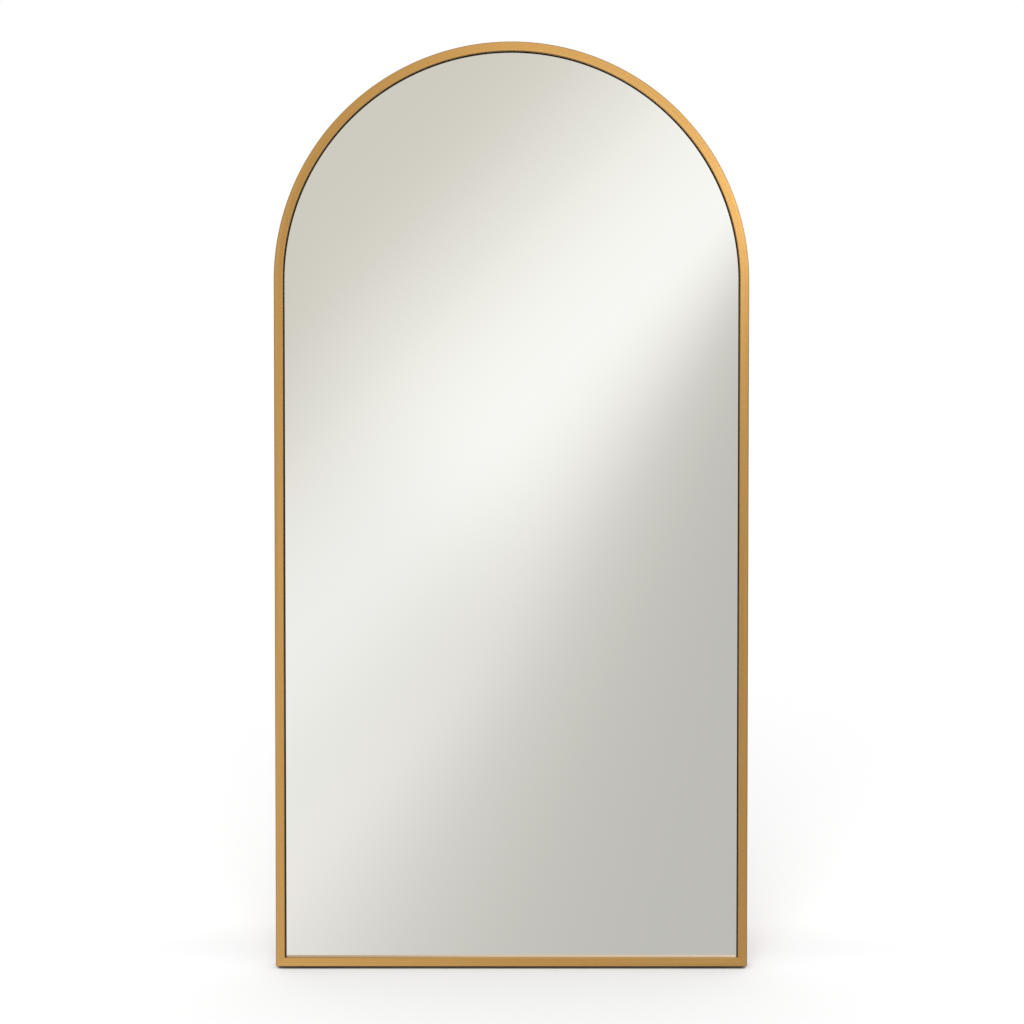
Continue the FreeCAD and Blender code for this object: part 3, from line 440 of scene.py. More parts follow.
gasket_rings = [gasket_corner(-1)]
for step in range(ARCH_STEPS + 1):
    turn = math.pi * step / ARCH_STEPS
    gasket_rings.append([((inwards - HALF_WIDTH) * math.cos(turn), depth,
                          SPRING_LEVEL + (HALF_WIDTH - inwards) * math.sin(turn))
                         for inwards, depth in gasket_section])
gasket_rings.append(gasket_corner(1))
gasket_run = distances([ring[0] for ring in [*gasket_rings, gasket_rings[0]]])
gasket_around = distances([*gasket_section, gasket_section[0]])
gasket_mesh = tube_mesh("gasket", gasket_rings, gasket_run, gasket_around, closed_run=True)
gasket_mesh.transform(to_room)
# The strip's near-black brown tone is painted shade, the shade in the reveal round the glass
place_piece(finish_mesh(gasket_mesh), "front_gasket",
            rubber_finish("gasket_rubber", (0.012, 0.007, 0.003), 1500.0, 0.6, 0.1))


# ---------------------------------------------------------------------------------------------------------
# The mirror: silvered float glass, 4 mm thick, with a shatter film on its back. It stands on two plastic
# blocks in the frame's slot.


def silvered_glass():
    """Silvered glass: a mirror with the faint green of the glass and the least waviness."""
    material, tree, surface = new_material("silvered_glass", {
        "Base Color": (0.975, 0.985, 0.978, 1.0), "Metallic": 1.0})
    place = object_place(tree)
    haze = noise(tree, place, 3.0, 2.0)
    tree.links.new(ramp(tree, haze, [(0.3, 0.004), (0.7, 0.012)]), surface.inputs["Roughness"])
    raise_surface(tree, surface, noise(tree, place, 1.4, 1.0), 0.05, 0.0003)
    return material


def film_finish():
    """Grey shatter film with the fine print of its carrier."""
    material, tree, surface = new_material("shatter_film", {"Specular IOR Level": 0.4})
    weave = noise(tree, object_place(tree), 700.0, 2.0)
    tree.links.new(ramp(tree, weave, [(0.3, (0.46, 0.48, 0.49)), (0.7, (0.56, 0.58, 0.59))]),
                   surface.inputs["Base Color"])
    tree.links.new(ramp(tree, weave, [(0.3, 0.34), (0.7, 0.46)]), surface.inputs["Roughness"])
    raise_surface(tree, surface, weave, 0.2, 0.0001)
    return material


def block_finish():
    """White moulded plastic with a faint flow pattern."""
    material, tree, surface = new_material("block_plastic", {"Specular IOR Level": 0.45})
    flow = noise(tree, object_place(tree), 180.0, 3.0, (0.3, 1.0, 1.0))
    tree.links.new(ramp(tree, flow, [(0.3, (0.70, 0.70, 0.67)), (0.7, (0.78, 0.78, 0.75))]),
                   surface.inputs["Base Color"])
    tree.links.new(ramp(tree, flow, [(0.3, 0.42), (0.7, 0.55)]), surface.inputs["Roughness"])
    raise_surface(tree, surface, flow, 0.2, 0.0001)
    return material


dress("mirror_glass", silvered_glass())
dress("safety_film", film_finish())
dress("setting_blocks", block_finish())


# ---------------------------------------------------------------------------------------------------------
# The back: a sheet of 5 mm hardboard, smooth brown face outwards, pressed forward by foam strips behind
# the frame's web.


def hardboard_finish():
    """Pressed wood fibre: brown, flecked with darker and lighter fibres, with broad soft patches."""
    material, tree, surface = new_material("hardboard", {"Specular IOR Level": 0.35})
    place = object_place(tree)
    patch = noise(tree, place, 4.0, 4.0)
    fibre = noise(tree, place, 850.0, 5.0, (1.0, 1.0, 0.4))
    fleck = noise(tree, place, 1600.0, 2.0)
    ground = ramp(tree, patch, [(0.3, (0.205, 0.120, 0.067)), (0.7, (0.228, 0.136, 0.078))])
    flecks = ramp(tree, fibre, [(0.34, 0.44), (0.48, 0.5), (0.64, (0.61, 0.59, 0.56))])
    mixed = node(tree, "ShaderNodeMix", {0: 1.0, 6: ground, 7: flecks},
                 data_type="RGBA", blend_type="OVERLAY")
    tree.links.new(mixed.outputs[2], surface.inputs["Base Color"])
    tree.links.new(ramp(tree, fleck, [(0.3, 0.46), (0.7, 0.66)]), surface.inputs["Roughness"])
    raise_surface(tree, surface, fibre, 0.25, 0.0002)
    return material


def foam_finish():
    """Closed-cell black foam."""
    material, tree, surface = new_material("packing_foam", {"Specular IOR Level": 0.3})
    cells = node(tree, "ShaderNodeTexVoronoi", {"Vector": object_place(tree), "Scale": 1400.0})
    cells = cells.outputs["Distance"]
    tree.links.new(ramp(tree, cells, [(0.1, 0.03), (0.7, 0.09)]), surface.inputs["Base Color"])
    tree.links.new(ramp(tree, cells, [(0.1, 0.75), (0.7, 0.92)]), surface.inputs["Roughness"])
    raise_surface(tree, surface, cells, 0.5, 0.0003)
    return material


dress("backing_board", hardboard_finish())
dress("packing_strips", foam_finish())


# ---------------------------------------------------------------------------------------------------------
# Three cross bars: flat steel cut to length, edges broken, black powder coat. Their ends lie in the rear
# channel and are screwed through its lip. The upper two carry the hangers and the stand.


def powder_coat():
    """Black powder coat: a fine even texture, a little lighter where it is thin."""
    material, tree, surface = new_material("black_powder_coat", {"Specular IOR Level": 0.5})
    place = object_place(tree)
    texture = noise(tree, place, 1300.0, 2.0)
    patch = noise(tree, place, 9.0, 3.0)
    tree.links.new(ramp(tree, patch, [(0.3, (0.020, 0.020, 0.021)), (0.75, (0.034, 0.034, 0.036))]),
                   surface.inputs["Base Color"])
    tree.links.new(ramp(tree, texture, [(0.3, 0.36), (0.7, 0.52)]), surface.inputs["Roughness"])
    raise_surface(tree, surface, texture, 0.45, 0.0002)
    return material


black_coat = powder_coat()
BAR_EDGE = 0.0006
for bar in ("hanger_rail", "stand_rail", "lower_rail"):
    place_piece(softened(bar, BAR_EDGE), bar, black_coat)


# ---------------------------------------------------------------------------------------------------------
# Screws: M4 pan heads with a cross recess, zinc plated, one recipe for all five groups. Each screw stands
# where its CAD solid stands and is turned to a stop of its own.

to_panel = to_room.inverted()


def solids(node_name, own_axes):
    """The lowest and highest corner of each separate solid of a CAD node, along axes of its own."""
    work = bmesh.new()
    work.from_mesh(frame["nodes"][node_name].data)
    work.transform(own_axes)
    bmesh.ops.remove_doubles(work, verts=work.verts, dist=SAME_CAD_POINT)
    found = []
    left = set(work.verts)
    while left:
        group = [left.pop()]
        for point in group:
            for edge in point.link_edges:
                other = edge.other_vert(point)
                if other in left:
                    left.remove(other)
                    group.append(other)
        low = Vector(min(point.co[i] for point in group) for i in range(3))
        high = Vector(max(point.co[i] for point in group) for i in range(3))
        found.append((low, high))
    work.free()
    return sorted(found, key=lambda pair: (round(pair[0].z, 4), pair[0].x))


def turned(name, profile):
    """A lathe-turned solid about Z. The profile is (radius, height) from the lower pole to the upper."""
    sides = 32
    mesh = bpy.data.meshes.new(name)
    turns = [math.tau * k / sides for k in range(sides)]
    points = [(0.0, 0.0, profile[0][1])]
    for radius, height in profile[1:-1]:
        points += [(radius * math.cos(turn), radius * math.sin(turn), height) for turn in turns]
    points.append((0.0, 0.0, profile[-1][1]))
    last = len(points) - 1
    faces = [(0, 1 + (k + 1) % sides, 1 + k) for k in range(sides)]
    for i in range(len(profile) - 3):
        base = 1 + i * sides
        faces += [(base + k, base + (k + 1) % sides, base + sides + (k + 1) % sides, base + sides + k)
                  for k in range(sides)]
    faces += [(last - sides + k, last - sides + (k + 1) % sides, last) for k in range(sides)]
    mesh.from_pydata(points, [], faces)
    return finish_mesh(mesh)


def worked(tree, operation, *values):
    """The result of one sum on numbers or sockets."""
    return node(tree, "ShaderNodeMath", dict(enumerate(values)), operation=operation).outputs[0]


def new_recipe(name, inputs):
    """A Geometry Nodes tree with named inputs. Returns it with the sockets that its inputs give."""
    tree = bpy.data.node_groups.new(name, "GeometryNodeTree")
    tree.interface.new_socket("Geometry", in_out="OUTPUT", socket_type="NodeSocketGeometry")
    for label, kind in [("Geometry", "Geometry"), *inputs]:
        tree.interface.new_socket(label, in_out="INPUT", socket_type="NodeSocket" + kind)
    return tree, node(tree, "NodeGroupInput").outputs


def end_recipe(tree, given, shape):
    """Makes what is repeated real, gives it its material and ends the tree."""
    real = node(tree, "GeometryNodeRealizeInstances", {"Geometry": shape}).outputs["Geometry"]
    done = node(tree, "GeometryNodeSetMaterial", {"Geometry": real, "Material": given["Material"]})
    node(tree, "NodeGroupOutput", {"Geometry": done.outputs["Geometry"]})


def cook(tree, base, values):
    """Runs a recipe on a base mesh and returns the plain mesh that it makes."""
    piece = bpy.data.objects.new(tree.name, base)
    bpy.context.scene.collection.objects.link(piece)
    modifier = piece.modifiers.new(tree.name, "NODES")
    modifier.node_group = tree
    for item in tree.interface.items_tree:
        if item.in_out == "INPUT" and item.name in values:
            modifier[item.identifier] = values[item.name]
    ready = piece.evaluated_get(bpy.context.evaluated_depsgraph_get())
    mesh = bpy.data.meshes.new_from_object(ready)
    bpy.data.objects.remove(piece)
    return mesh


def set_out_recipe():
    """A fastener at every point, tipped as given, with a cross cut in its head, turned at random."""
    tree, given = new_recipe("set_out", [
        ("Fastener", "Object"), ("Tip", "Rotation"), ("Head Top", "Float"), ("Recess Span", "Float"),
        ("Recess Width", "Float"), ("Recess Depth", "Float"), ("Seed", "Int"), ("Material", "Material")])
    shape = node(tree, "GeometryNodeObjectInfo", {"Object": given["Fastener"]}).outputs["Geometry"]
    depth = worked(tree, "MULTIPLY", given["Recess Depth"], 2.0)
    long = node(tree, "ShaderNodeCombineXYZ", {
        0: given["Recess Span"], 1: given["Recess Width"], 2: depth})
    wide = node(tree, "ShaderNodeCombineXYZ", {
        0: given["Recess Width"], 1: given["Recess Span"], 2: depth})
    top = node(tree, "ShaderNodeCombineXYZ", {2: given["Head Top"]}).outputs["Vector"]
    for size in (long, wide):
        bar = node(tree, "GeometryNodeMeshCube", {"Size": size.outputs["Vector"]}).outputs["Mesh"]
        bar = node(tree, "GeometryNodeTransform", {"Geometry": bar, "Translation": top})
        cut = node(tree, "GeometryNodeMeshBoolean", {"Mesh 1": shape}, operation="DIFFERENCE")
        tree.links.new(bar.outputs["Geometry"], cut.inputs["Mesh 2"])
        shape = cut.outputs["Mesh"]
    placed = node(tree, "GeometryNodeInstanceOnPoints", {
        "Points": given["Geometry"], "Instance": shape, "Rotation": given["Tip"]}).outputs["Instances"]
    spin = node(tree, "FunctionNodeRandomValue", {"Min": 0.0, "Max": math.pi / 2, "Seed": given["Seed"]})
    spin = [out for out in spin.outputs if out.enabled][0]
    spin = node(tree, "ShaderNodeCombineXYZ", {2: spin}).outputs["Vector"]
    placed = node(tree, "GeometryNodeRotateInstances", {"Instances": placed, "Rotation": spin})
    end_recipe(tree, given, placed.outputs["Instances"])
    return tree


set_out = set_out_recipe()
HEAD_HEIGHT = 0.0023
HEAD_ROUND = 0.00115
SHANK_RADIUS = 0.002
SHANK_CHAMFER = 0.0005
HEAD_FLANK = 0.0001
HEAD_STEPS = 5
RECESS_SPAN = 0.0042
RECESS_WIDTH = 0.0009
RECESS_DEPTH = 0.0013
TURN_BACK = (-math.pi / 2, 0.0, 0.0)


def screws(name, node_name, seed):
    """One group of pan-head screws, in place of the CAD node of that group."""
    found = solids(node_name, to_panel)
    head = (found[0][1].x - found[0][0].x) / 2
    reach = found[0][1].y - found[0][0].y - HEAD_HEIGHT
    profile = [(0.0, -reach), (SHANK_RADIUS - SHANK_CHAMFER, -reach),
               (SHANK_RADIUS, SHANK_CHAMFER - reach), (SHANK_RADIUS, 0.0),
               (head - HEAD_FLANK, 0.0), (head, HEAD_FLANK), (head, HEAD_HEIGHT - HEAD_ROUND)]
    for step in range(1, HEAD_STEPS + 1):
        turn = math.pi / 2 * step / HEAD_STEPS
        profile.append((head - HEAD_ROUND * (1 - math.cos(turn)),
                        HEAD_HEIGHT - HEAD_ROUND * (1 - math.sin(turn))))
    profile.append((0.0, HEAD_HEIGHT))
    model = bpy.data.objects.new("screw", turned("screw", profile))
    seats = bpy.data.meshes.new("seats")
    seats.from_pydata([((low.x + high.x) / 2, high.y - HEAD_HEIGHT, (low.z + high.z) / 2)
                       for low, high in found], [], [])
    mesh = cook(set_out, seats, {"Fastener": model, "Tip": TURN_BACK, "Head Top": HEAD_HEIGHT,
                                 "Recess Span": RECESS_SPAN, "Recess Width": RECESS_WIDTH,
                                 "Recess Depth": RECESS_DEPTH, "Seed": seed, "Material": zinc})
    bpy.data.objects.remove(model)
    mesh.name = name
    mesh.transform(to_room)
    return place_piece(mesh, node_name, zinc)


for seed, group in enumerate(("rail_screws", "corner_plate_screws", "hanger_screws", "tether_screws",
                              "hinge_bracket_screws")):
    screws(group + "_cross", group, seed)


# ---------------------------------------------------------------------------------------------------------
# The hangers: a zinc strap each side, curled round a wire D ring that swings in it, and between them an
# angle with a hole for the strap that ties the mirror to the wall.

place_piece(softened("hanger_straps", 0.00025), "hanger_straps", zinc)
place_piece(softened("tether_tab", 0.0004), "tether_tab", zinc)


def round_run_recipe():
    """Round bar along a line of points, with ribs of a given pitch and depth if asked."""
    tree, given = new_recipe("round_run", [
        ("Radius", "Float"), ("Sides", "Int"), ("Rib Depth", "Float"), ("Rib Pitch", "Float"),
        ("Material", "Material")])
    line = node(tree, "GeometryNodeMeshToCurve", {"Mesh": given["Geometry"]}).outputs["Curve"]
    along = node(tree, "GeometryNodeSplineParameter").outputs["Length"]
    turns = worked(tree, "MULTIPLY", worked(tree, "DIVIDE", along, given["Rib Pitch"]), math.tau)
    wave = worked(tree, "MULTIPLY_ADD", worked(tree, "COSINE", turns), 0.5, -0.5)
    radius = worked(tree, "MULTIPLY_ADD", wave, given["Rib Depth"], given["Radius"])
    line = node(tree, "GeometryNodeSetCurveRadius", {"Curve": line, "Radius": radius}).outputs["Curve"]
    circle = node(tree, "GeometryNodeCurvePrimitiveCircle", {"Resolution": given["Sides"], "Radius": 1.0})
    swept = node(tree, "GeometryNodeCurveToMesh", {
        "Curve": line, "Profile Curve": circle.outputs["Curve"], "Fill Caps": True,
        "Scale": node(tree, "GeometryNodeInputRadius").outputs["Radius"]})
    end_recipe(tree, given, swept.outputs["Mesh"])
    return tree


round_run = round_run_recipe()


def bent_line(points, radii, steps=10, closed=False):
    """A line through points given as (x, z), with its corners bent to radii, as a mesh of edges."""
    bends = rounded(points, radii, steps)
    if not closed:
        bends = bends[bends.index(Vector(points[0])):]
    mesh = bpy.data.meshes.new("line")
    edges = [(i, i + 1) for i in range(len(bends) - 1)]
    if closed:
        edges.append((len(bends) - 1, 0))
    mesh.from_pydata([(x, 0.0, z) for x, z in bends], edges, [])
    return mesh


RING_WIRE = 0.0015
RING_BEND = 0.003
RING_BOW = 0.98
for side, body in ((-1, "ring_left"), (1, "ring_right")):
    ring_node = "hanger_" + body
    low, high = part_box(ring_node)
    joint = next(joint for joint in frame["joints"] if joint["child"] == body)
    half = (high.x - low.x) / 2 - RING_WIRE
    drop = high.z - low.z - 2 * RING_WIRE
    ring_line = bent_line([(-half, 0.0), (half, 0.0), (half, -drop), (-half, -drop)],
                          [RING_BEND, RING_BEND, half * RING_BOW, half * RING_BOW], steps=16, closed=True)
    ring_mesh = cook(round_run, ring_line, {"Radius": RING_WIRE, "Sides": 20, "Rib Depth": 0.0,
                                            "Rib Pitch": 1.0, "Material": zinc})
    ring_mesh.transform(Matrix.Translation(joint["pos_m"]))
    ring_mesh.name = ring_node + "_wire"
    place_piece(finish_mesh(ring_mesh), ring_node, zinc, body)


# ---------------------------------------------------------------------------------------------------------
# Rubber: domed bumpers on the rear lip that keep the back off a wall, and two wedges under the foot whose
# undersides lie flat on the floor.

black_rubber = rubber_finish("foot_rubber", (0.018, 0.018, 0.018), 700.0, 0.68, 0.35)
bumper_places = solids("wall_bumpers", to_panel)
bumper_radius = (bumper_places[0][1].x - bumper_places[0][0].x) / 2
bumper_height = bumper_places[0][1].y - bumper_places[0][0].y
BUMPER_FOOT = 0.94
BUMPER_CHAMFER = 0.0004
BUMPER_NECK = 0.96
BUMPER_SHOULDER = 0.62
DOME_STEPS = 8
bumper_neck = bumper_radius * BUMPER_NECK
bumper_profile = [(0.0, 0.0), (bumper_radius * BUMPER_FOOT, 0.0), (bumper_radius, BUMPER_CHAMFER),
                  (bumper_neck, bumper_height * BUMPER_SHOULDER)]
for step in range(1, DOME_STEPS):
    turn = math.pi / 2 * step / DOME_STEPS
    bumper_profile.append((bumper_neck * math.cos(turn),
                           bumper_height * (BUMPER_SHOULDER + (1 - BUMPER_SHOULDER) * math.sin(turn))))
bumper_profile.append((0.0, bumper_height))
bumper = bpy.data.objects.new("bumper", turned("bumper", bumper_profile))
bumper_seats = bpy.data.meshes.new("bumper_seats")
bumper_seats.from_pydata([((low.x + high.x) / 2, low.y, (low.z + high.z) / 2)
                          for low, high in bumper_places], [], [])
# A bumper has no recess, so the recipe's cutter is held a metre above it
bumper_mesh = cook(set_out, bumper_seats, {"Fastener": bumper, "Tip": TURN_BACK, "Head Top": 1.0,
                                           "Recess Span": 0.001, "Recess Width": 0.001,
                                           "Recess Depth": 0.001, "Seed": 9, "Material": black_rubber})
bpy.data.objects.remove(bumper)
bumper_mesh.name = "bumpers"
bumper_mesh.transform(to_room)
place_piece(bumper_mesh, "wall_bumpers", black_rubber)
place_piece(softened("floor_pads", 0.0003), "floor_pads", black_rubber)


# ---------------------------------------------------------------------------------------------------------
# The hinge: two steel clevises on the middle bar, powder coated, each with a headed zinc pin held by a
# snap ring.

for side in ("left", "right"):
    bracket = "hinge_bracket_" + side
    place_piece(softened(bracket, 0.0004), bracket, black_coat)
dress("hinge_pins", zinc)
dress("pin_clips", zinc)


# ---------------------------------------------------------------------------------------------------------
# The stand: one steel tube bent to a U, powder coated, with zinc eye fittings riveted in its ends and two
# ribbed rubber sleeves on the run that stands on the floor.

stand_joint = next(joint for joint in frame["joints"] if joint["child"] == "stand")
hinge = Vector(stand_joint["pos_m"])
sleeve_low, sleeve_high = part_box("stand_sleeves")
sole = Vector((0.0, (sleeve_low.y + sleeve_high.y) / 2, (sleeve_low.z + sleeve_high.z) / 2))
LEG_LENGTH = (sole - Vector((0.0, hinge.y, hinge.z))).length
SPLAY = math.atan2(sole.y - hinge.y, hinge.z - sole.z)
to_stand_room = Matrix.Translation(hinge) @ Matrix.Rotation(SPLAY, 4, "X")
tube_low, tube_high = solids("stand_tube", to_stand_room.inverted())[0]
TUBE_RADIUS = (tube_high.y - tube_low.y) / 2
TUBE_BEND = 0.060
leg_side = tube_high.x - TUBE_RADIUS
tube_line = bent_line([(-leg_side, tube_high.z), (-leg_side, -LEG_LENGTH), (leg_side, -LEG_LENGTH),
                       (leg_side, tube_high.z)], [0.0, TUBE_BEND, TUBE_BEND, 0.0], steps=24)
tube = cook(round_run, tube_line, {"Radius": TUBE_RADIUS, "Sides": 40, "Rib Depth": 0.0, "Rib Pitch": 1.0,
                                   "Material": black_coat})
tube.transform(to_stand_room)
tube.name = "stand_leg_tube"
place_piece(finish_mesh(tube), "stand_tube", black_coat, "stand")
place_piece(softened("stand_ends", 0.0003), "stand_ends", zinc, "stand")
dress("stand_rivets", zinc)

SLEEVE_RIBS = 10
RIB_STEPS = 12
RIB_DEPTH = 0.0012
sleeve_meshes = bmesh.new()
for low, high in solids("stand_sleeves", to_stand_room.inverted()):
    line = bpy.data.meshes.new("sleeve_line")
    count = SLEEVE_RIBS * RIB_STEPS
    line.from_pydata([(low.x + (high.x - low.x) * k / count, 0.0, -LEG_LENGTH) for k in range(count + 1)],
                     [(k, k + 1) for k in range(count)], [])
    sleeve = cook(round_run, line, {"Radius": (high.y - low.y) / 2, "Sides": 48, "Rib Depth": RIB_DEPTH,
                                    "Rib Pitch": (high.x - low.x) / SLEEVE_RIBS, "Material": black_rubber})
    sleeve_meshes.from_mesh(sleeve)
both_sleeves = bpy.data.meshes.new("sleeves_ribbed")
sleeve_meshes.to_mesh(both_sleeves)
sleeve_meshes.free()
both_sleeves.transform(to_stand_room)
place_piece(finish_mesh(both_sleeves), "stand_sleeves", black_rubber, "stand")


# ---------------------------------------------------------------------------------------------------------
# The studio: a white floor that keeps the soft shadow, a plain white surround, and the softly lit room
# that only metal and glass show. It is laid out by direction, along the leaning mirror's own axes.

FLOOR_REACH = 30.0
FLOOR_TONE = 0.8
PAINTED_CONTACT_SHADE_TONE = 0.1
CONTACT_REACH = 0.12
FILL_IN_FRONT = 0.15
FILL_BEHIND = 0.26
WHITE_FROM = 1.2
WHITE_BEYOND = 2.6


def fade(tree, value, start, end, low, high):
    """Goes softly from low to high as a value goes from start to end."""
    smooth = node(tree, "ShaderNodeMapRange", {
        "Value": value, "From Min": start, "From Max": end, "To Min": low, "To Max": high},
        interpolation_type="SMOOTHSTEP")
    return smooth.outputs["Result"]


floor_mesh = bpy.data.meshes.new("studio_floor")
floor_mesh.from_pydata([(x * FLOOR_REACH, y * FLOOR_REACH, 0.0)
                        for x, y in ((-1, -1), (1, -1), (1, 1), (-1, 1))], [], [(0, 1, 2, 3)])
floor = bpy.data.objects.new("studio_floor", floor_mesh)
bpy.context.scene.collection.objects.link(floor)
floor.visible_glossy = False
floor_material = bpy.data.materials.new("studio_floor")
floor_material.use_nodes = True
tree = floor_material.node_tree
tree.nodes.clear()
seen = node(tree, "ShaderNodeLightPath").outputs["Is Camera Ray"]
place = object_place(tree)
open_sky = node(tree, "ShaderNodeAmbientOcclusion", {"Distance": CONTACT_REACH}, samples=8).outputs["AO"]
# The floor's own colour darkens to a near-black where the ambient occlusion closes in under and beside the base:
# painted contact shade
ground = fade(tree, open_sky, 0.1, 0.5, PAINTED_CONTACT_SHADE_TONE, FLOOR_TONE)
matt = node(tree, "ShaderNodeBsdfDiffuse", {"Color": ground})
# Painted light: to the camera the floor is a little lighter than it is lit, more so behind the mirror where
# its shadow falls, and less where the painted contact shade darkens it; far away it is white
behind = node(tree, "ShaderNodeSeparateXYZ", {"Vector": place}).outputs["Y"]
fill = worked(tree, "MULTIPLY", ground, fade(tree, behind, -0.06, 0.16, FILL_IN_FRONT, FILL_BEHIND))
glow = node(tree, "ShaderNodeEmission", {"Strength": worked(tree, "MULTIPLY", fill, seen)})
near = node(tree, "ShaderNodeAddShader", {0: matt.outputs["BSDF"], 1: glow.outputs["Emission"]})
white = node(tree, "ShaderNodeEmission", {"Strength": seen})
distance = node(tree, "ShaderNodeVectorMath", {0: place}, operation="LENGTH").outputs["Value"]
away = worked(tree, "MULTIPLY", fade(tree, distance, WHITE_FROM, WHITE_BEYOND, 0.0, 1.0), seen)
surface = node(tree, "ShaderNodeMixShader", {
    0: away, 1: near.outputs["Shader"], 2: white.outputs["Emission"]})
node(tree, "ShaderNodeOutputMaterial", {"Surface": surface.outputs["Shader"]})
floor_mesh.materials.append(floor_material)

world = bpy.data.worlds.new("studio")
bpy.context.scene.world = world
world.use_nodes = True
tree = world.node_tree
tree.nodes.clear()

# Directions are turned onto the mirror's axes, then by an eighth of a turn: the soft light lies in a band
# that rises to the right. A direction lies so far across the band, and so far along it.
BAND_TURN = math.radians(-45)
BAND_OFFSET = -0.012
UPPER_WIDTH = 0.1
LOWER_WIDTH = 0.069
LOWER_SLOPE = -0.26
LEAST_WIDTH = 0.03
looking = node(tree, "ShaderNodeTexCoord").outputs["Generated"]
looking = node(tree, "ShaderNodeMapping", {"Vector": looking, "Rotation": (LEAN, 0.0, 0.0)})
looking = looking.outputs["Vector"]
on_panel = node(tree, "ShaderNodeSeparateXYZ", {"Vector": looking}).outputs
looking = node(tree, "ShaderNodeMapping", {"Vector": looking, "Rotation": (0.0, BAND_TURN, 0.0)})
apart = node(tree, "ShaderNodeSeparateXYZ", {"Vector": looking.outputs["Vector"]}).outputs
across_band = worked(tree, "SUBTRACT", apart["X"], BAND_OFFSET)
along_band = apart["Z"]
lower_width = worked(tree, "MULTIPLY_ADD", along_band, LOWER_SLOPE, LOWER_WIDTH)
lower_width = worked(tree, "MAXIMUM", lower_width, LEAST_WIDTH)
below = worked(tree, "MAXIMUM", worked(tree, "DIVIDE", across_band, lower_width), 0.0)
above = worked(tree, "MINIMUM", worked(tree, "DIVIDE", across_band, UPPER_WIDTH), 0.0)
shade = worked(tree, "ADD", above, below)
shade = node(tree, "ShaderNodeMapRange", {"Value": shade, "From Min": -2.0, "From Max": 3.0})
room_tone = ramp(tree, shade.outputs["Result"], [
    (0.10, (0.63, 0.60, 0.54)), (0.18, (0.66, 0.63, 0.57)), (0.26, (0.82, 0.80, 0.74)),
    (0.33, (0.93, 0.92, 0.88)), (0.40, (0.97, 0.96, 0.93)), (0.47, (0.93, 0.92, 0.88)),
    (0.55, (0.80, 0.78, 0.74)), (0.63, (0.64, 0.62, 0.58)), (0.72, (0.56, 0.55, 0.51)),
    (0.84, (0.52, 0.51, 0.48))])
room_tone.node.color_ramp.interpolation = "B_SPLINE"

# The band is weaker to the lower left. Outside what the glass shows, the room is brighter just above and
# below, and dims to the sides, overhead and far below. Each change is (measure, start, end, factor).
sideways = worked(tree, "ABSOLUTE", on_panel["X"])
upwards = on_panel["Z"]
lower_ridge = worked(tree, "MULTIPLY", fade(tree, along_band, 0.04, -0.12, 0.0, 1.0),
                     fade(tree, across_band, 0.1, 0.03, 0.0, 1.0))
changes = [fade(tree, measure, start, end, 1.0, factor) for measure, start, end, factor in (
    (lower_ridge, 0.0, 1.0, 0.91), (sideways, 0.35, 0.8, 0.5), (along_band, 0.19, 0.32, 0.65),
    (upwards, -0.255, -0.33, 1.4), (upwards, -0.45, -0.8, 0.25), (upwards, 0.215, 0.27, 1.25),
    (upwards, 0.4, 0.7, 0.5))]

# A soft light follows the arch just outside what the glass shows, with a bright spot to the right
ARCH_MIDDLE = 0.09
ARCH_REACH = 0.117
SPOT_TURN = math.radians(8)
BROAD_LIGHT = 0.85
SPOT_LIGHT = 3.6
risen = worked(tree, "SUBTRACT", upwards, ARCH_MIDDLE)
spoke = node(tree, "ShaderNodeCombineXYZ", {"X": on_panel["X"], "Z": risen}).outputs["Vector"]
reach = node(tree, "ShaderNodeVectorMath", {0: spoke}, operation="LENGTH").outputs["Value"]
spoke = node(tree, "ShaderNodeVectorMath", {0: spoke}, operation="NORMALIZE").outputs["Vector"]
spot = (math.cos(SPOT_TURN), 0.0, math.sin(SPOT_TURN))
turned_to = node(tree, "ShaderNodeVectorMath", {0: spoke, 1: spot}, operation="DOT_PRODUCT")
turned_to = turned_to.outputs["Value"]
glow = worked(tree, "ADD", fade(tree, turned_to, -0.3, 0.15, 0.0, BROAD_LIGHT),
              fade(tree, turned_to, 0.91, 1.0, 0.0, SPOT_LIGHT))
for part in (fade(tree, reach, ARCH_REACH, ARCH_REACH + 0.04, 0.0, 1.0),
             fade(tree, reach, 0.35, 0.7, 1.0, 0.2), fade(tree, risen, -0.015, 0.02, 0.0, 1.0)):
    glow = worked(tree, "MULTIPLY", glow, part)
changes.append(worked(tree, "ADD", glow, 1.0))
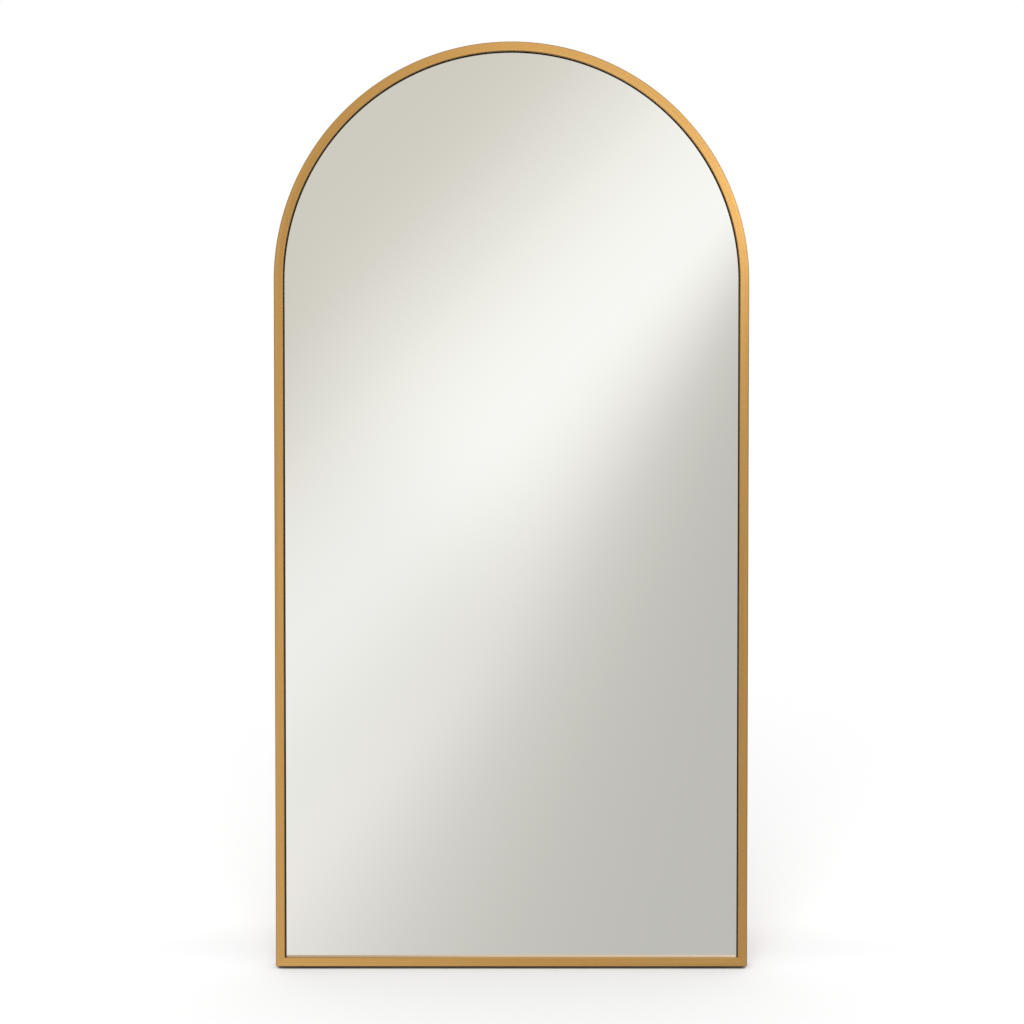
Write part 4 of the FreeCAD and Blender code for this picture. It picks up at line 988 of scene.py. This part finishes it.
for change in changes:
    room_tone = node(tree, "ShaderNodeVectorMath", {0: room_tone, 1: change}, operation="MULTIPLY")
    room_tone = room_tone.outputs["Vector"]

path = node(tree, "ShaderNodeLightPath")
PLAIN_TONE = 0.93
plain = node(tree, "ShaderNodeBackground", {"Color": (PLAIN_TONE, PLAIN_TONE, PLAIN_TONE, 1.0)})
room = node(tree, "ShaderNodeBackground", {"Color": room_tone})
white = node(tree, "ShaderNodeBackground", {"Color": (1.0, 1.0, 1.0, 1.0)})
shown = node(tree, "ShaderNodeMixShader", {
    0: path.outputs["Is Glossy Ray"], 1: plain.outputs["Background"], 2: room.outputs["Background"]})
lit = node(tree, "ShaderNodeMixShader", {
    0: path.outputs["Is Camera Ray"], 1: shown.outputs["Shader"], 2: white.outputs["Background"]})
node(tree, "ShaderNodeOutputWorld", {"Surface": lit.outputs["Shader"]})

KEY_PLACE = Vector((-0.3, -3.4, 3.6))
KEY_AIM = Vector((0.0, 0.0, 0.8))
KEY_SIZE = 3.2
KEY_POWER = 78.0
key_lamp = bpy.data.lights.new("key_lamp", "AREA")
key_lamp.shape = "DISK"
key_lamp.size = KEY_SIZE
key_lamp.energy = KEY_POWER
key = bpy.data.objects.new("key_lamp", key_lamp)
bpy.context.scene.collection.objects.link(key)
key.location = KEY_PLACE
key.rotation_euler = (KEY_AIM - KEY_PLACE).to_track_quat("-Z", "Y").to_euler()
key.visible_glossy = False

CAMERA_PLACE = Vector((0.00101, -3.8443, 1.45906))
CAMERA_PITCH = math.radians(8.625)
SENSOR_WIDTH = 36.0
PICTURE_PIXELS = 1024
FOCAL_PIXELS = 2000
lens = bpy.data.cameras.new("camera")
lens.sensor_width = SENSOR_WIDTH
lens.lens = SENSOR_WIDTH * FOCAL_PIXELS / PICTURE_PIXELS
camera = bpy.data.objects.new("camera", lens)
bpy.context.scene.collection.objects.link(camera)
camera.location = CAMERA_PLACE
camera.rotation_euler = (math.radians(90) - CAMERA_PITCH, 0.0, 0.0)
bpy.context.scene.camera = camera
bpy.context.scene.view_settings.view_transform = "Standard"
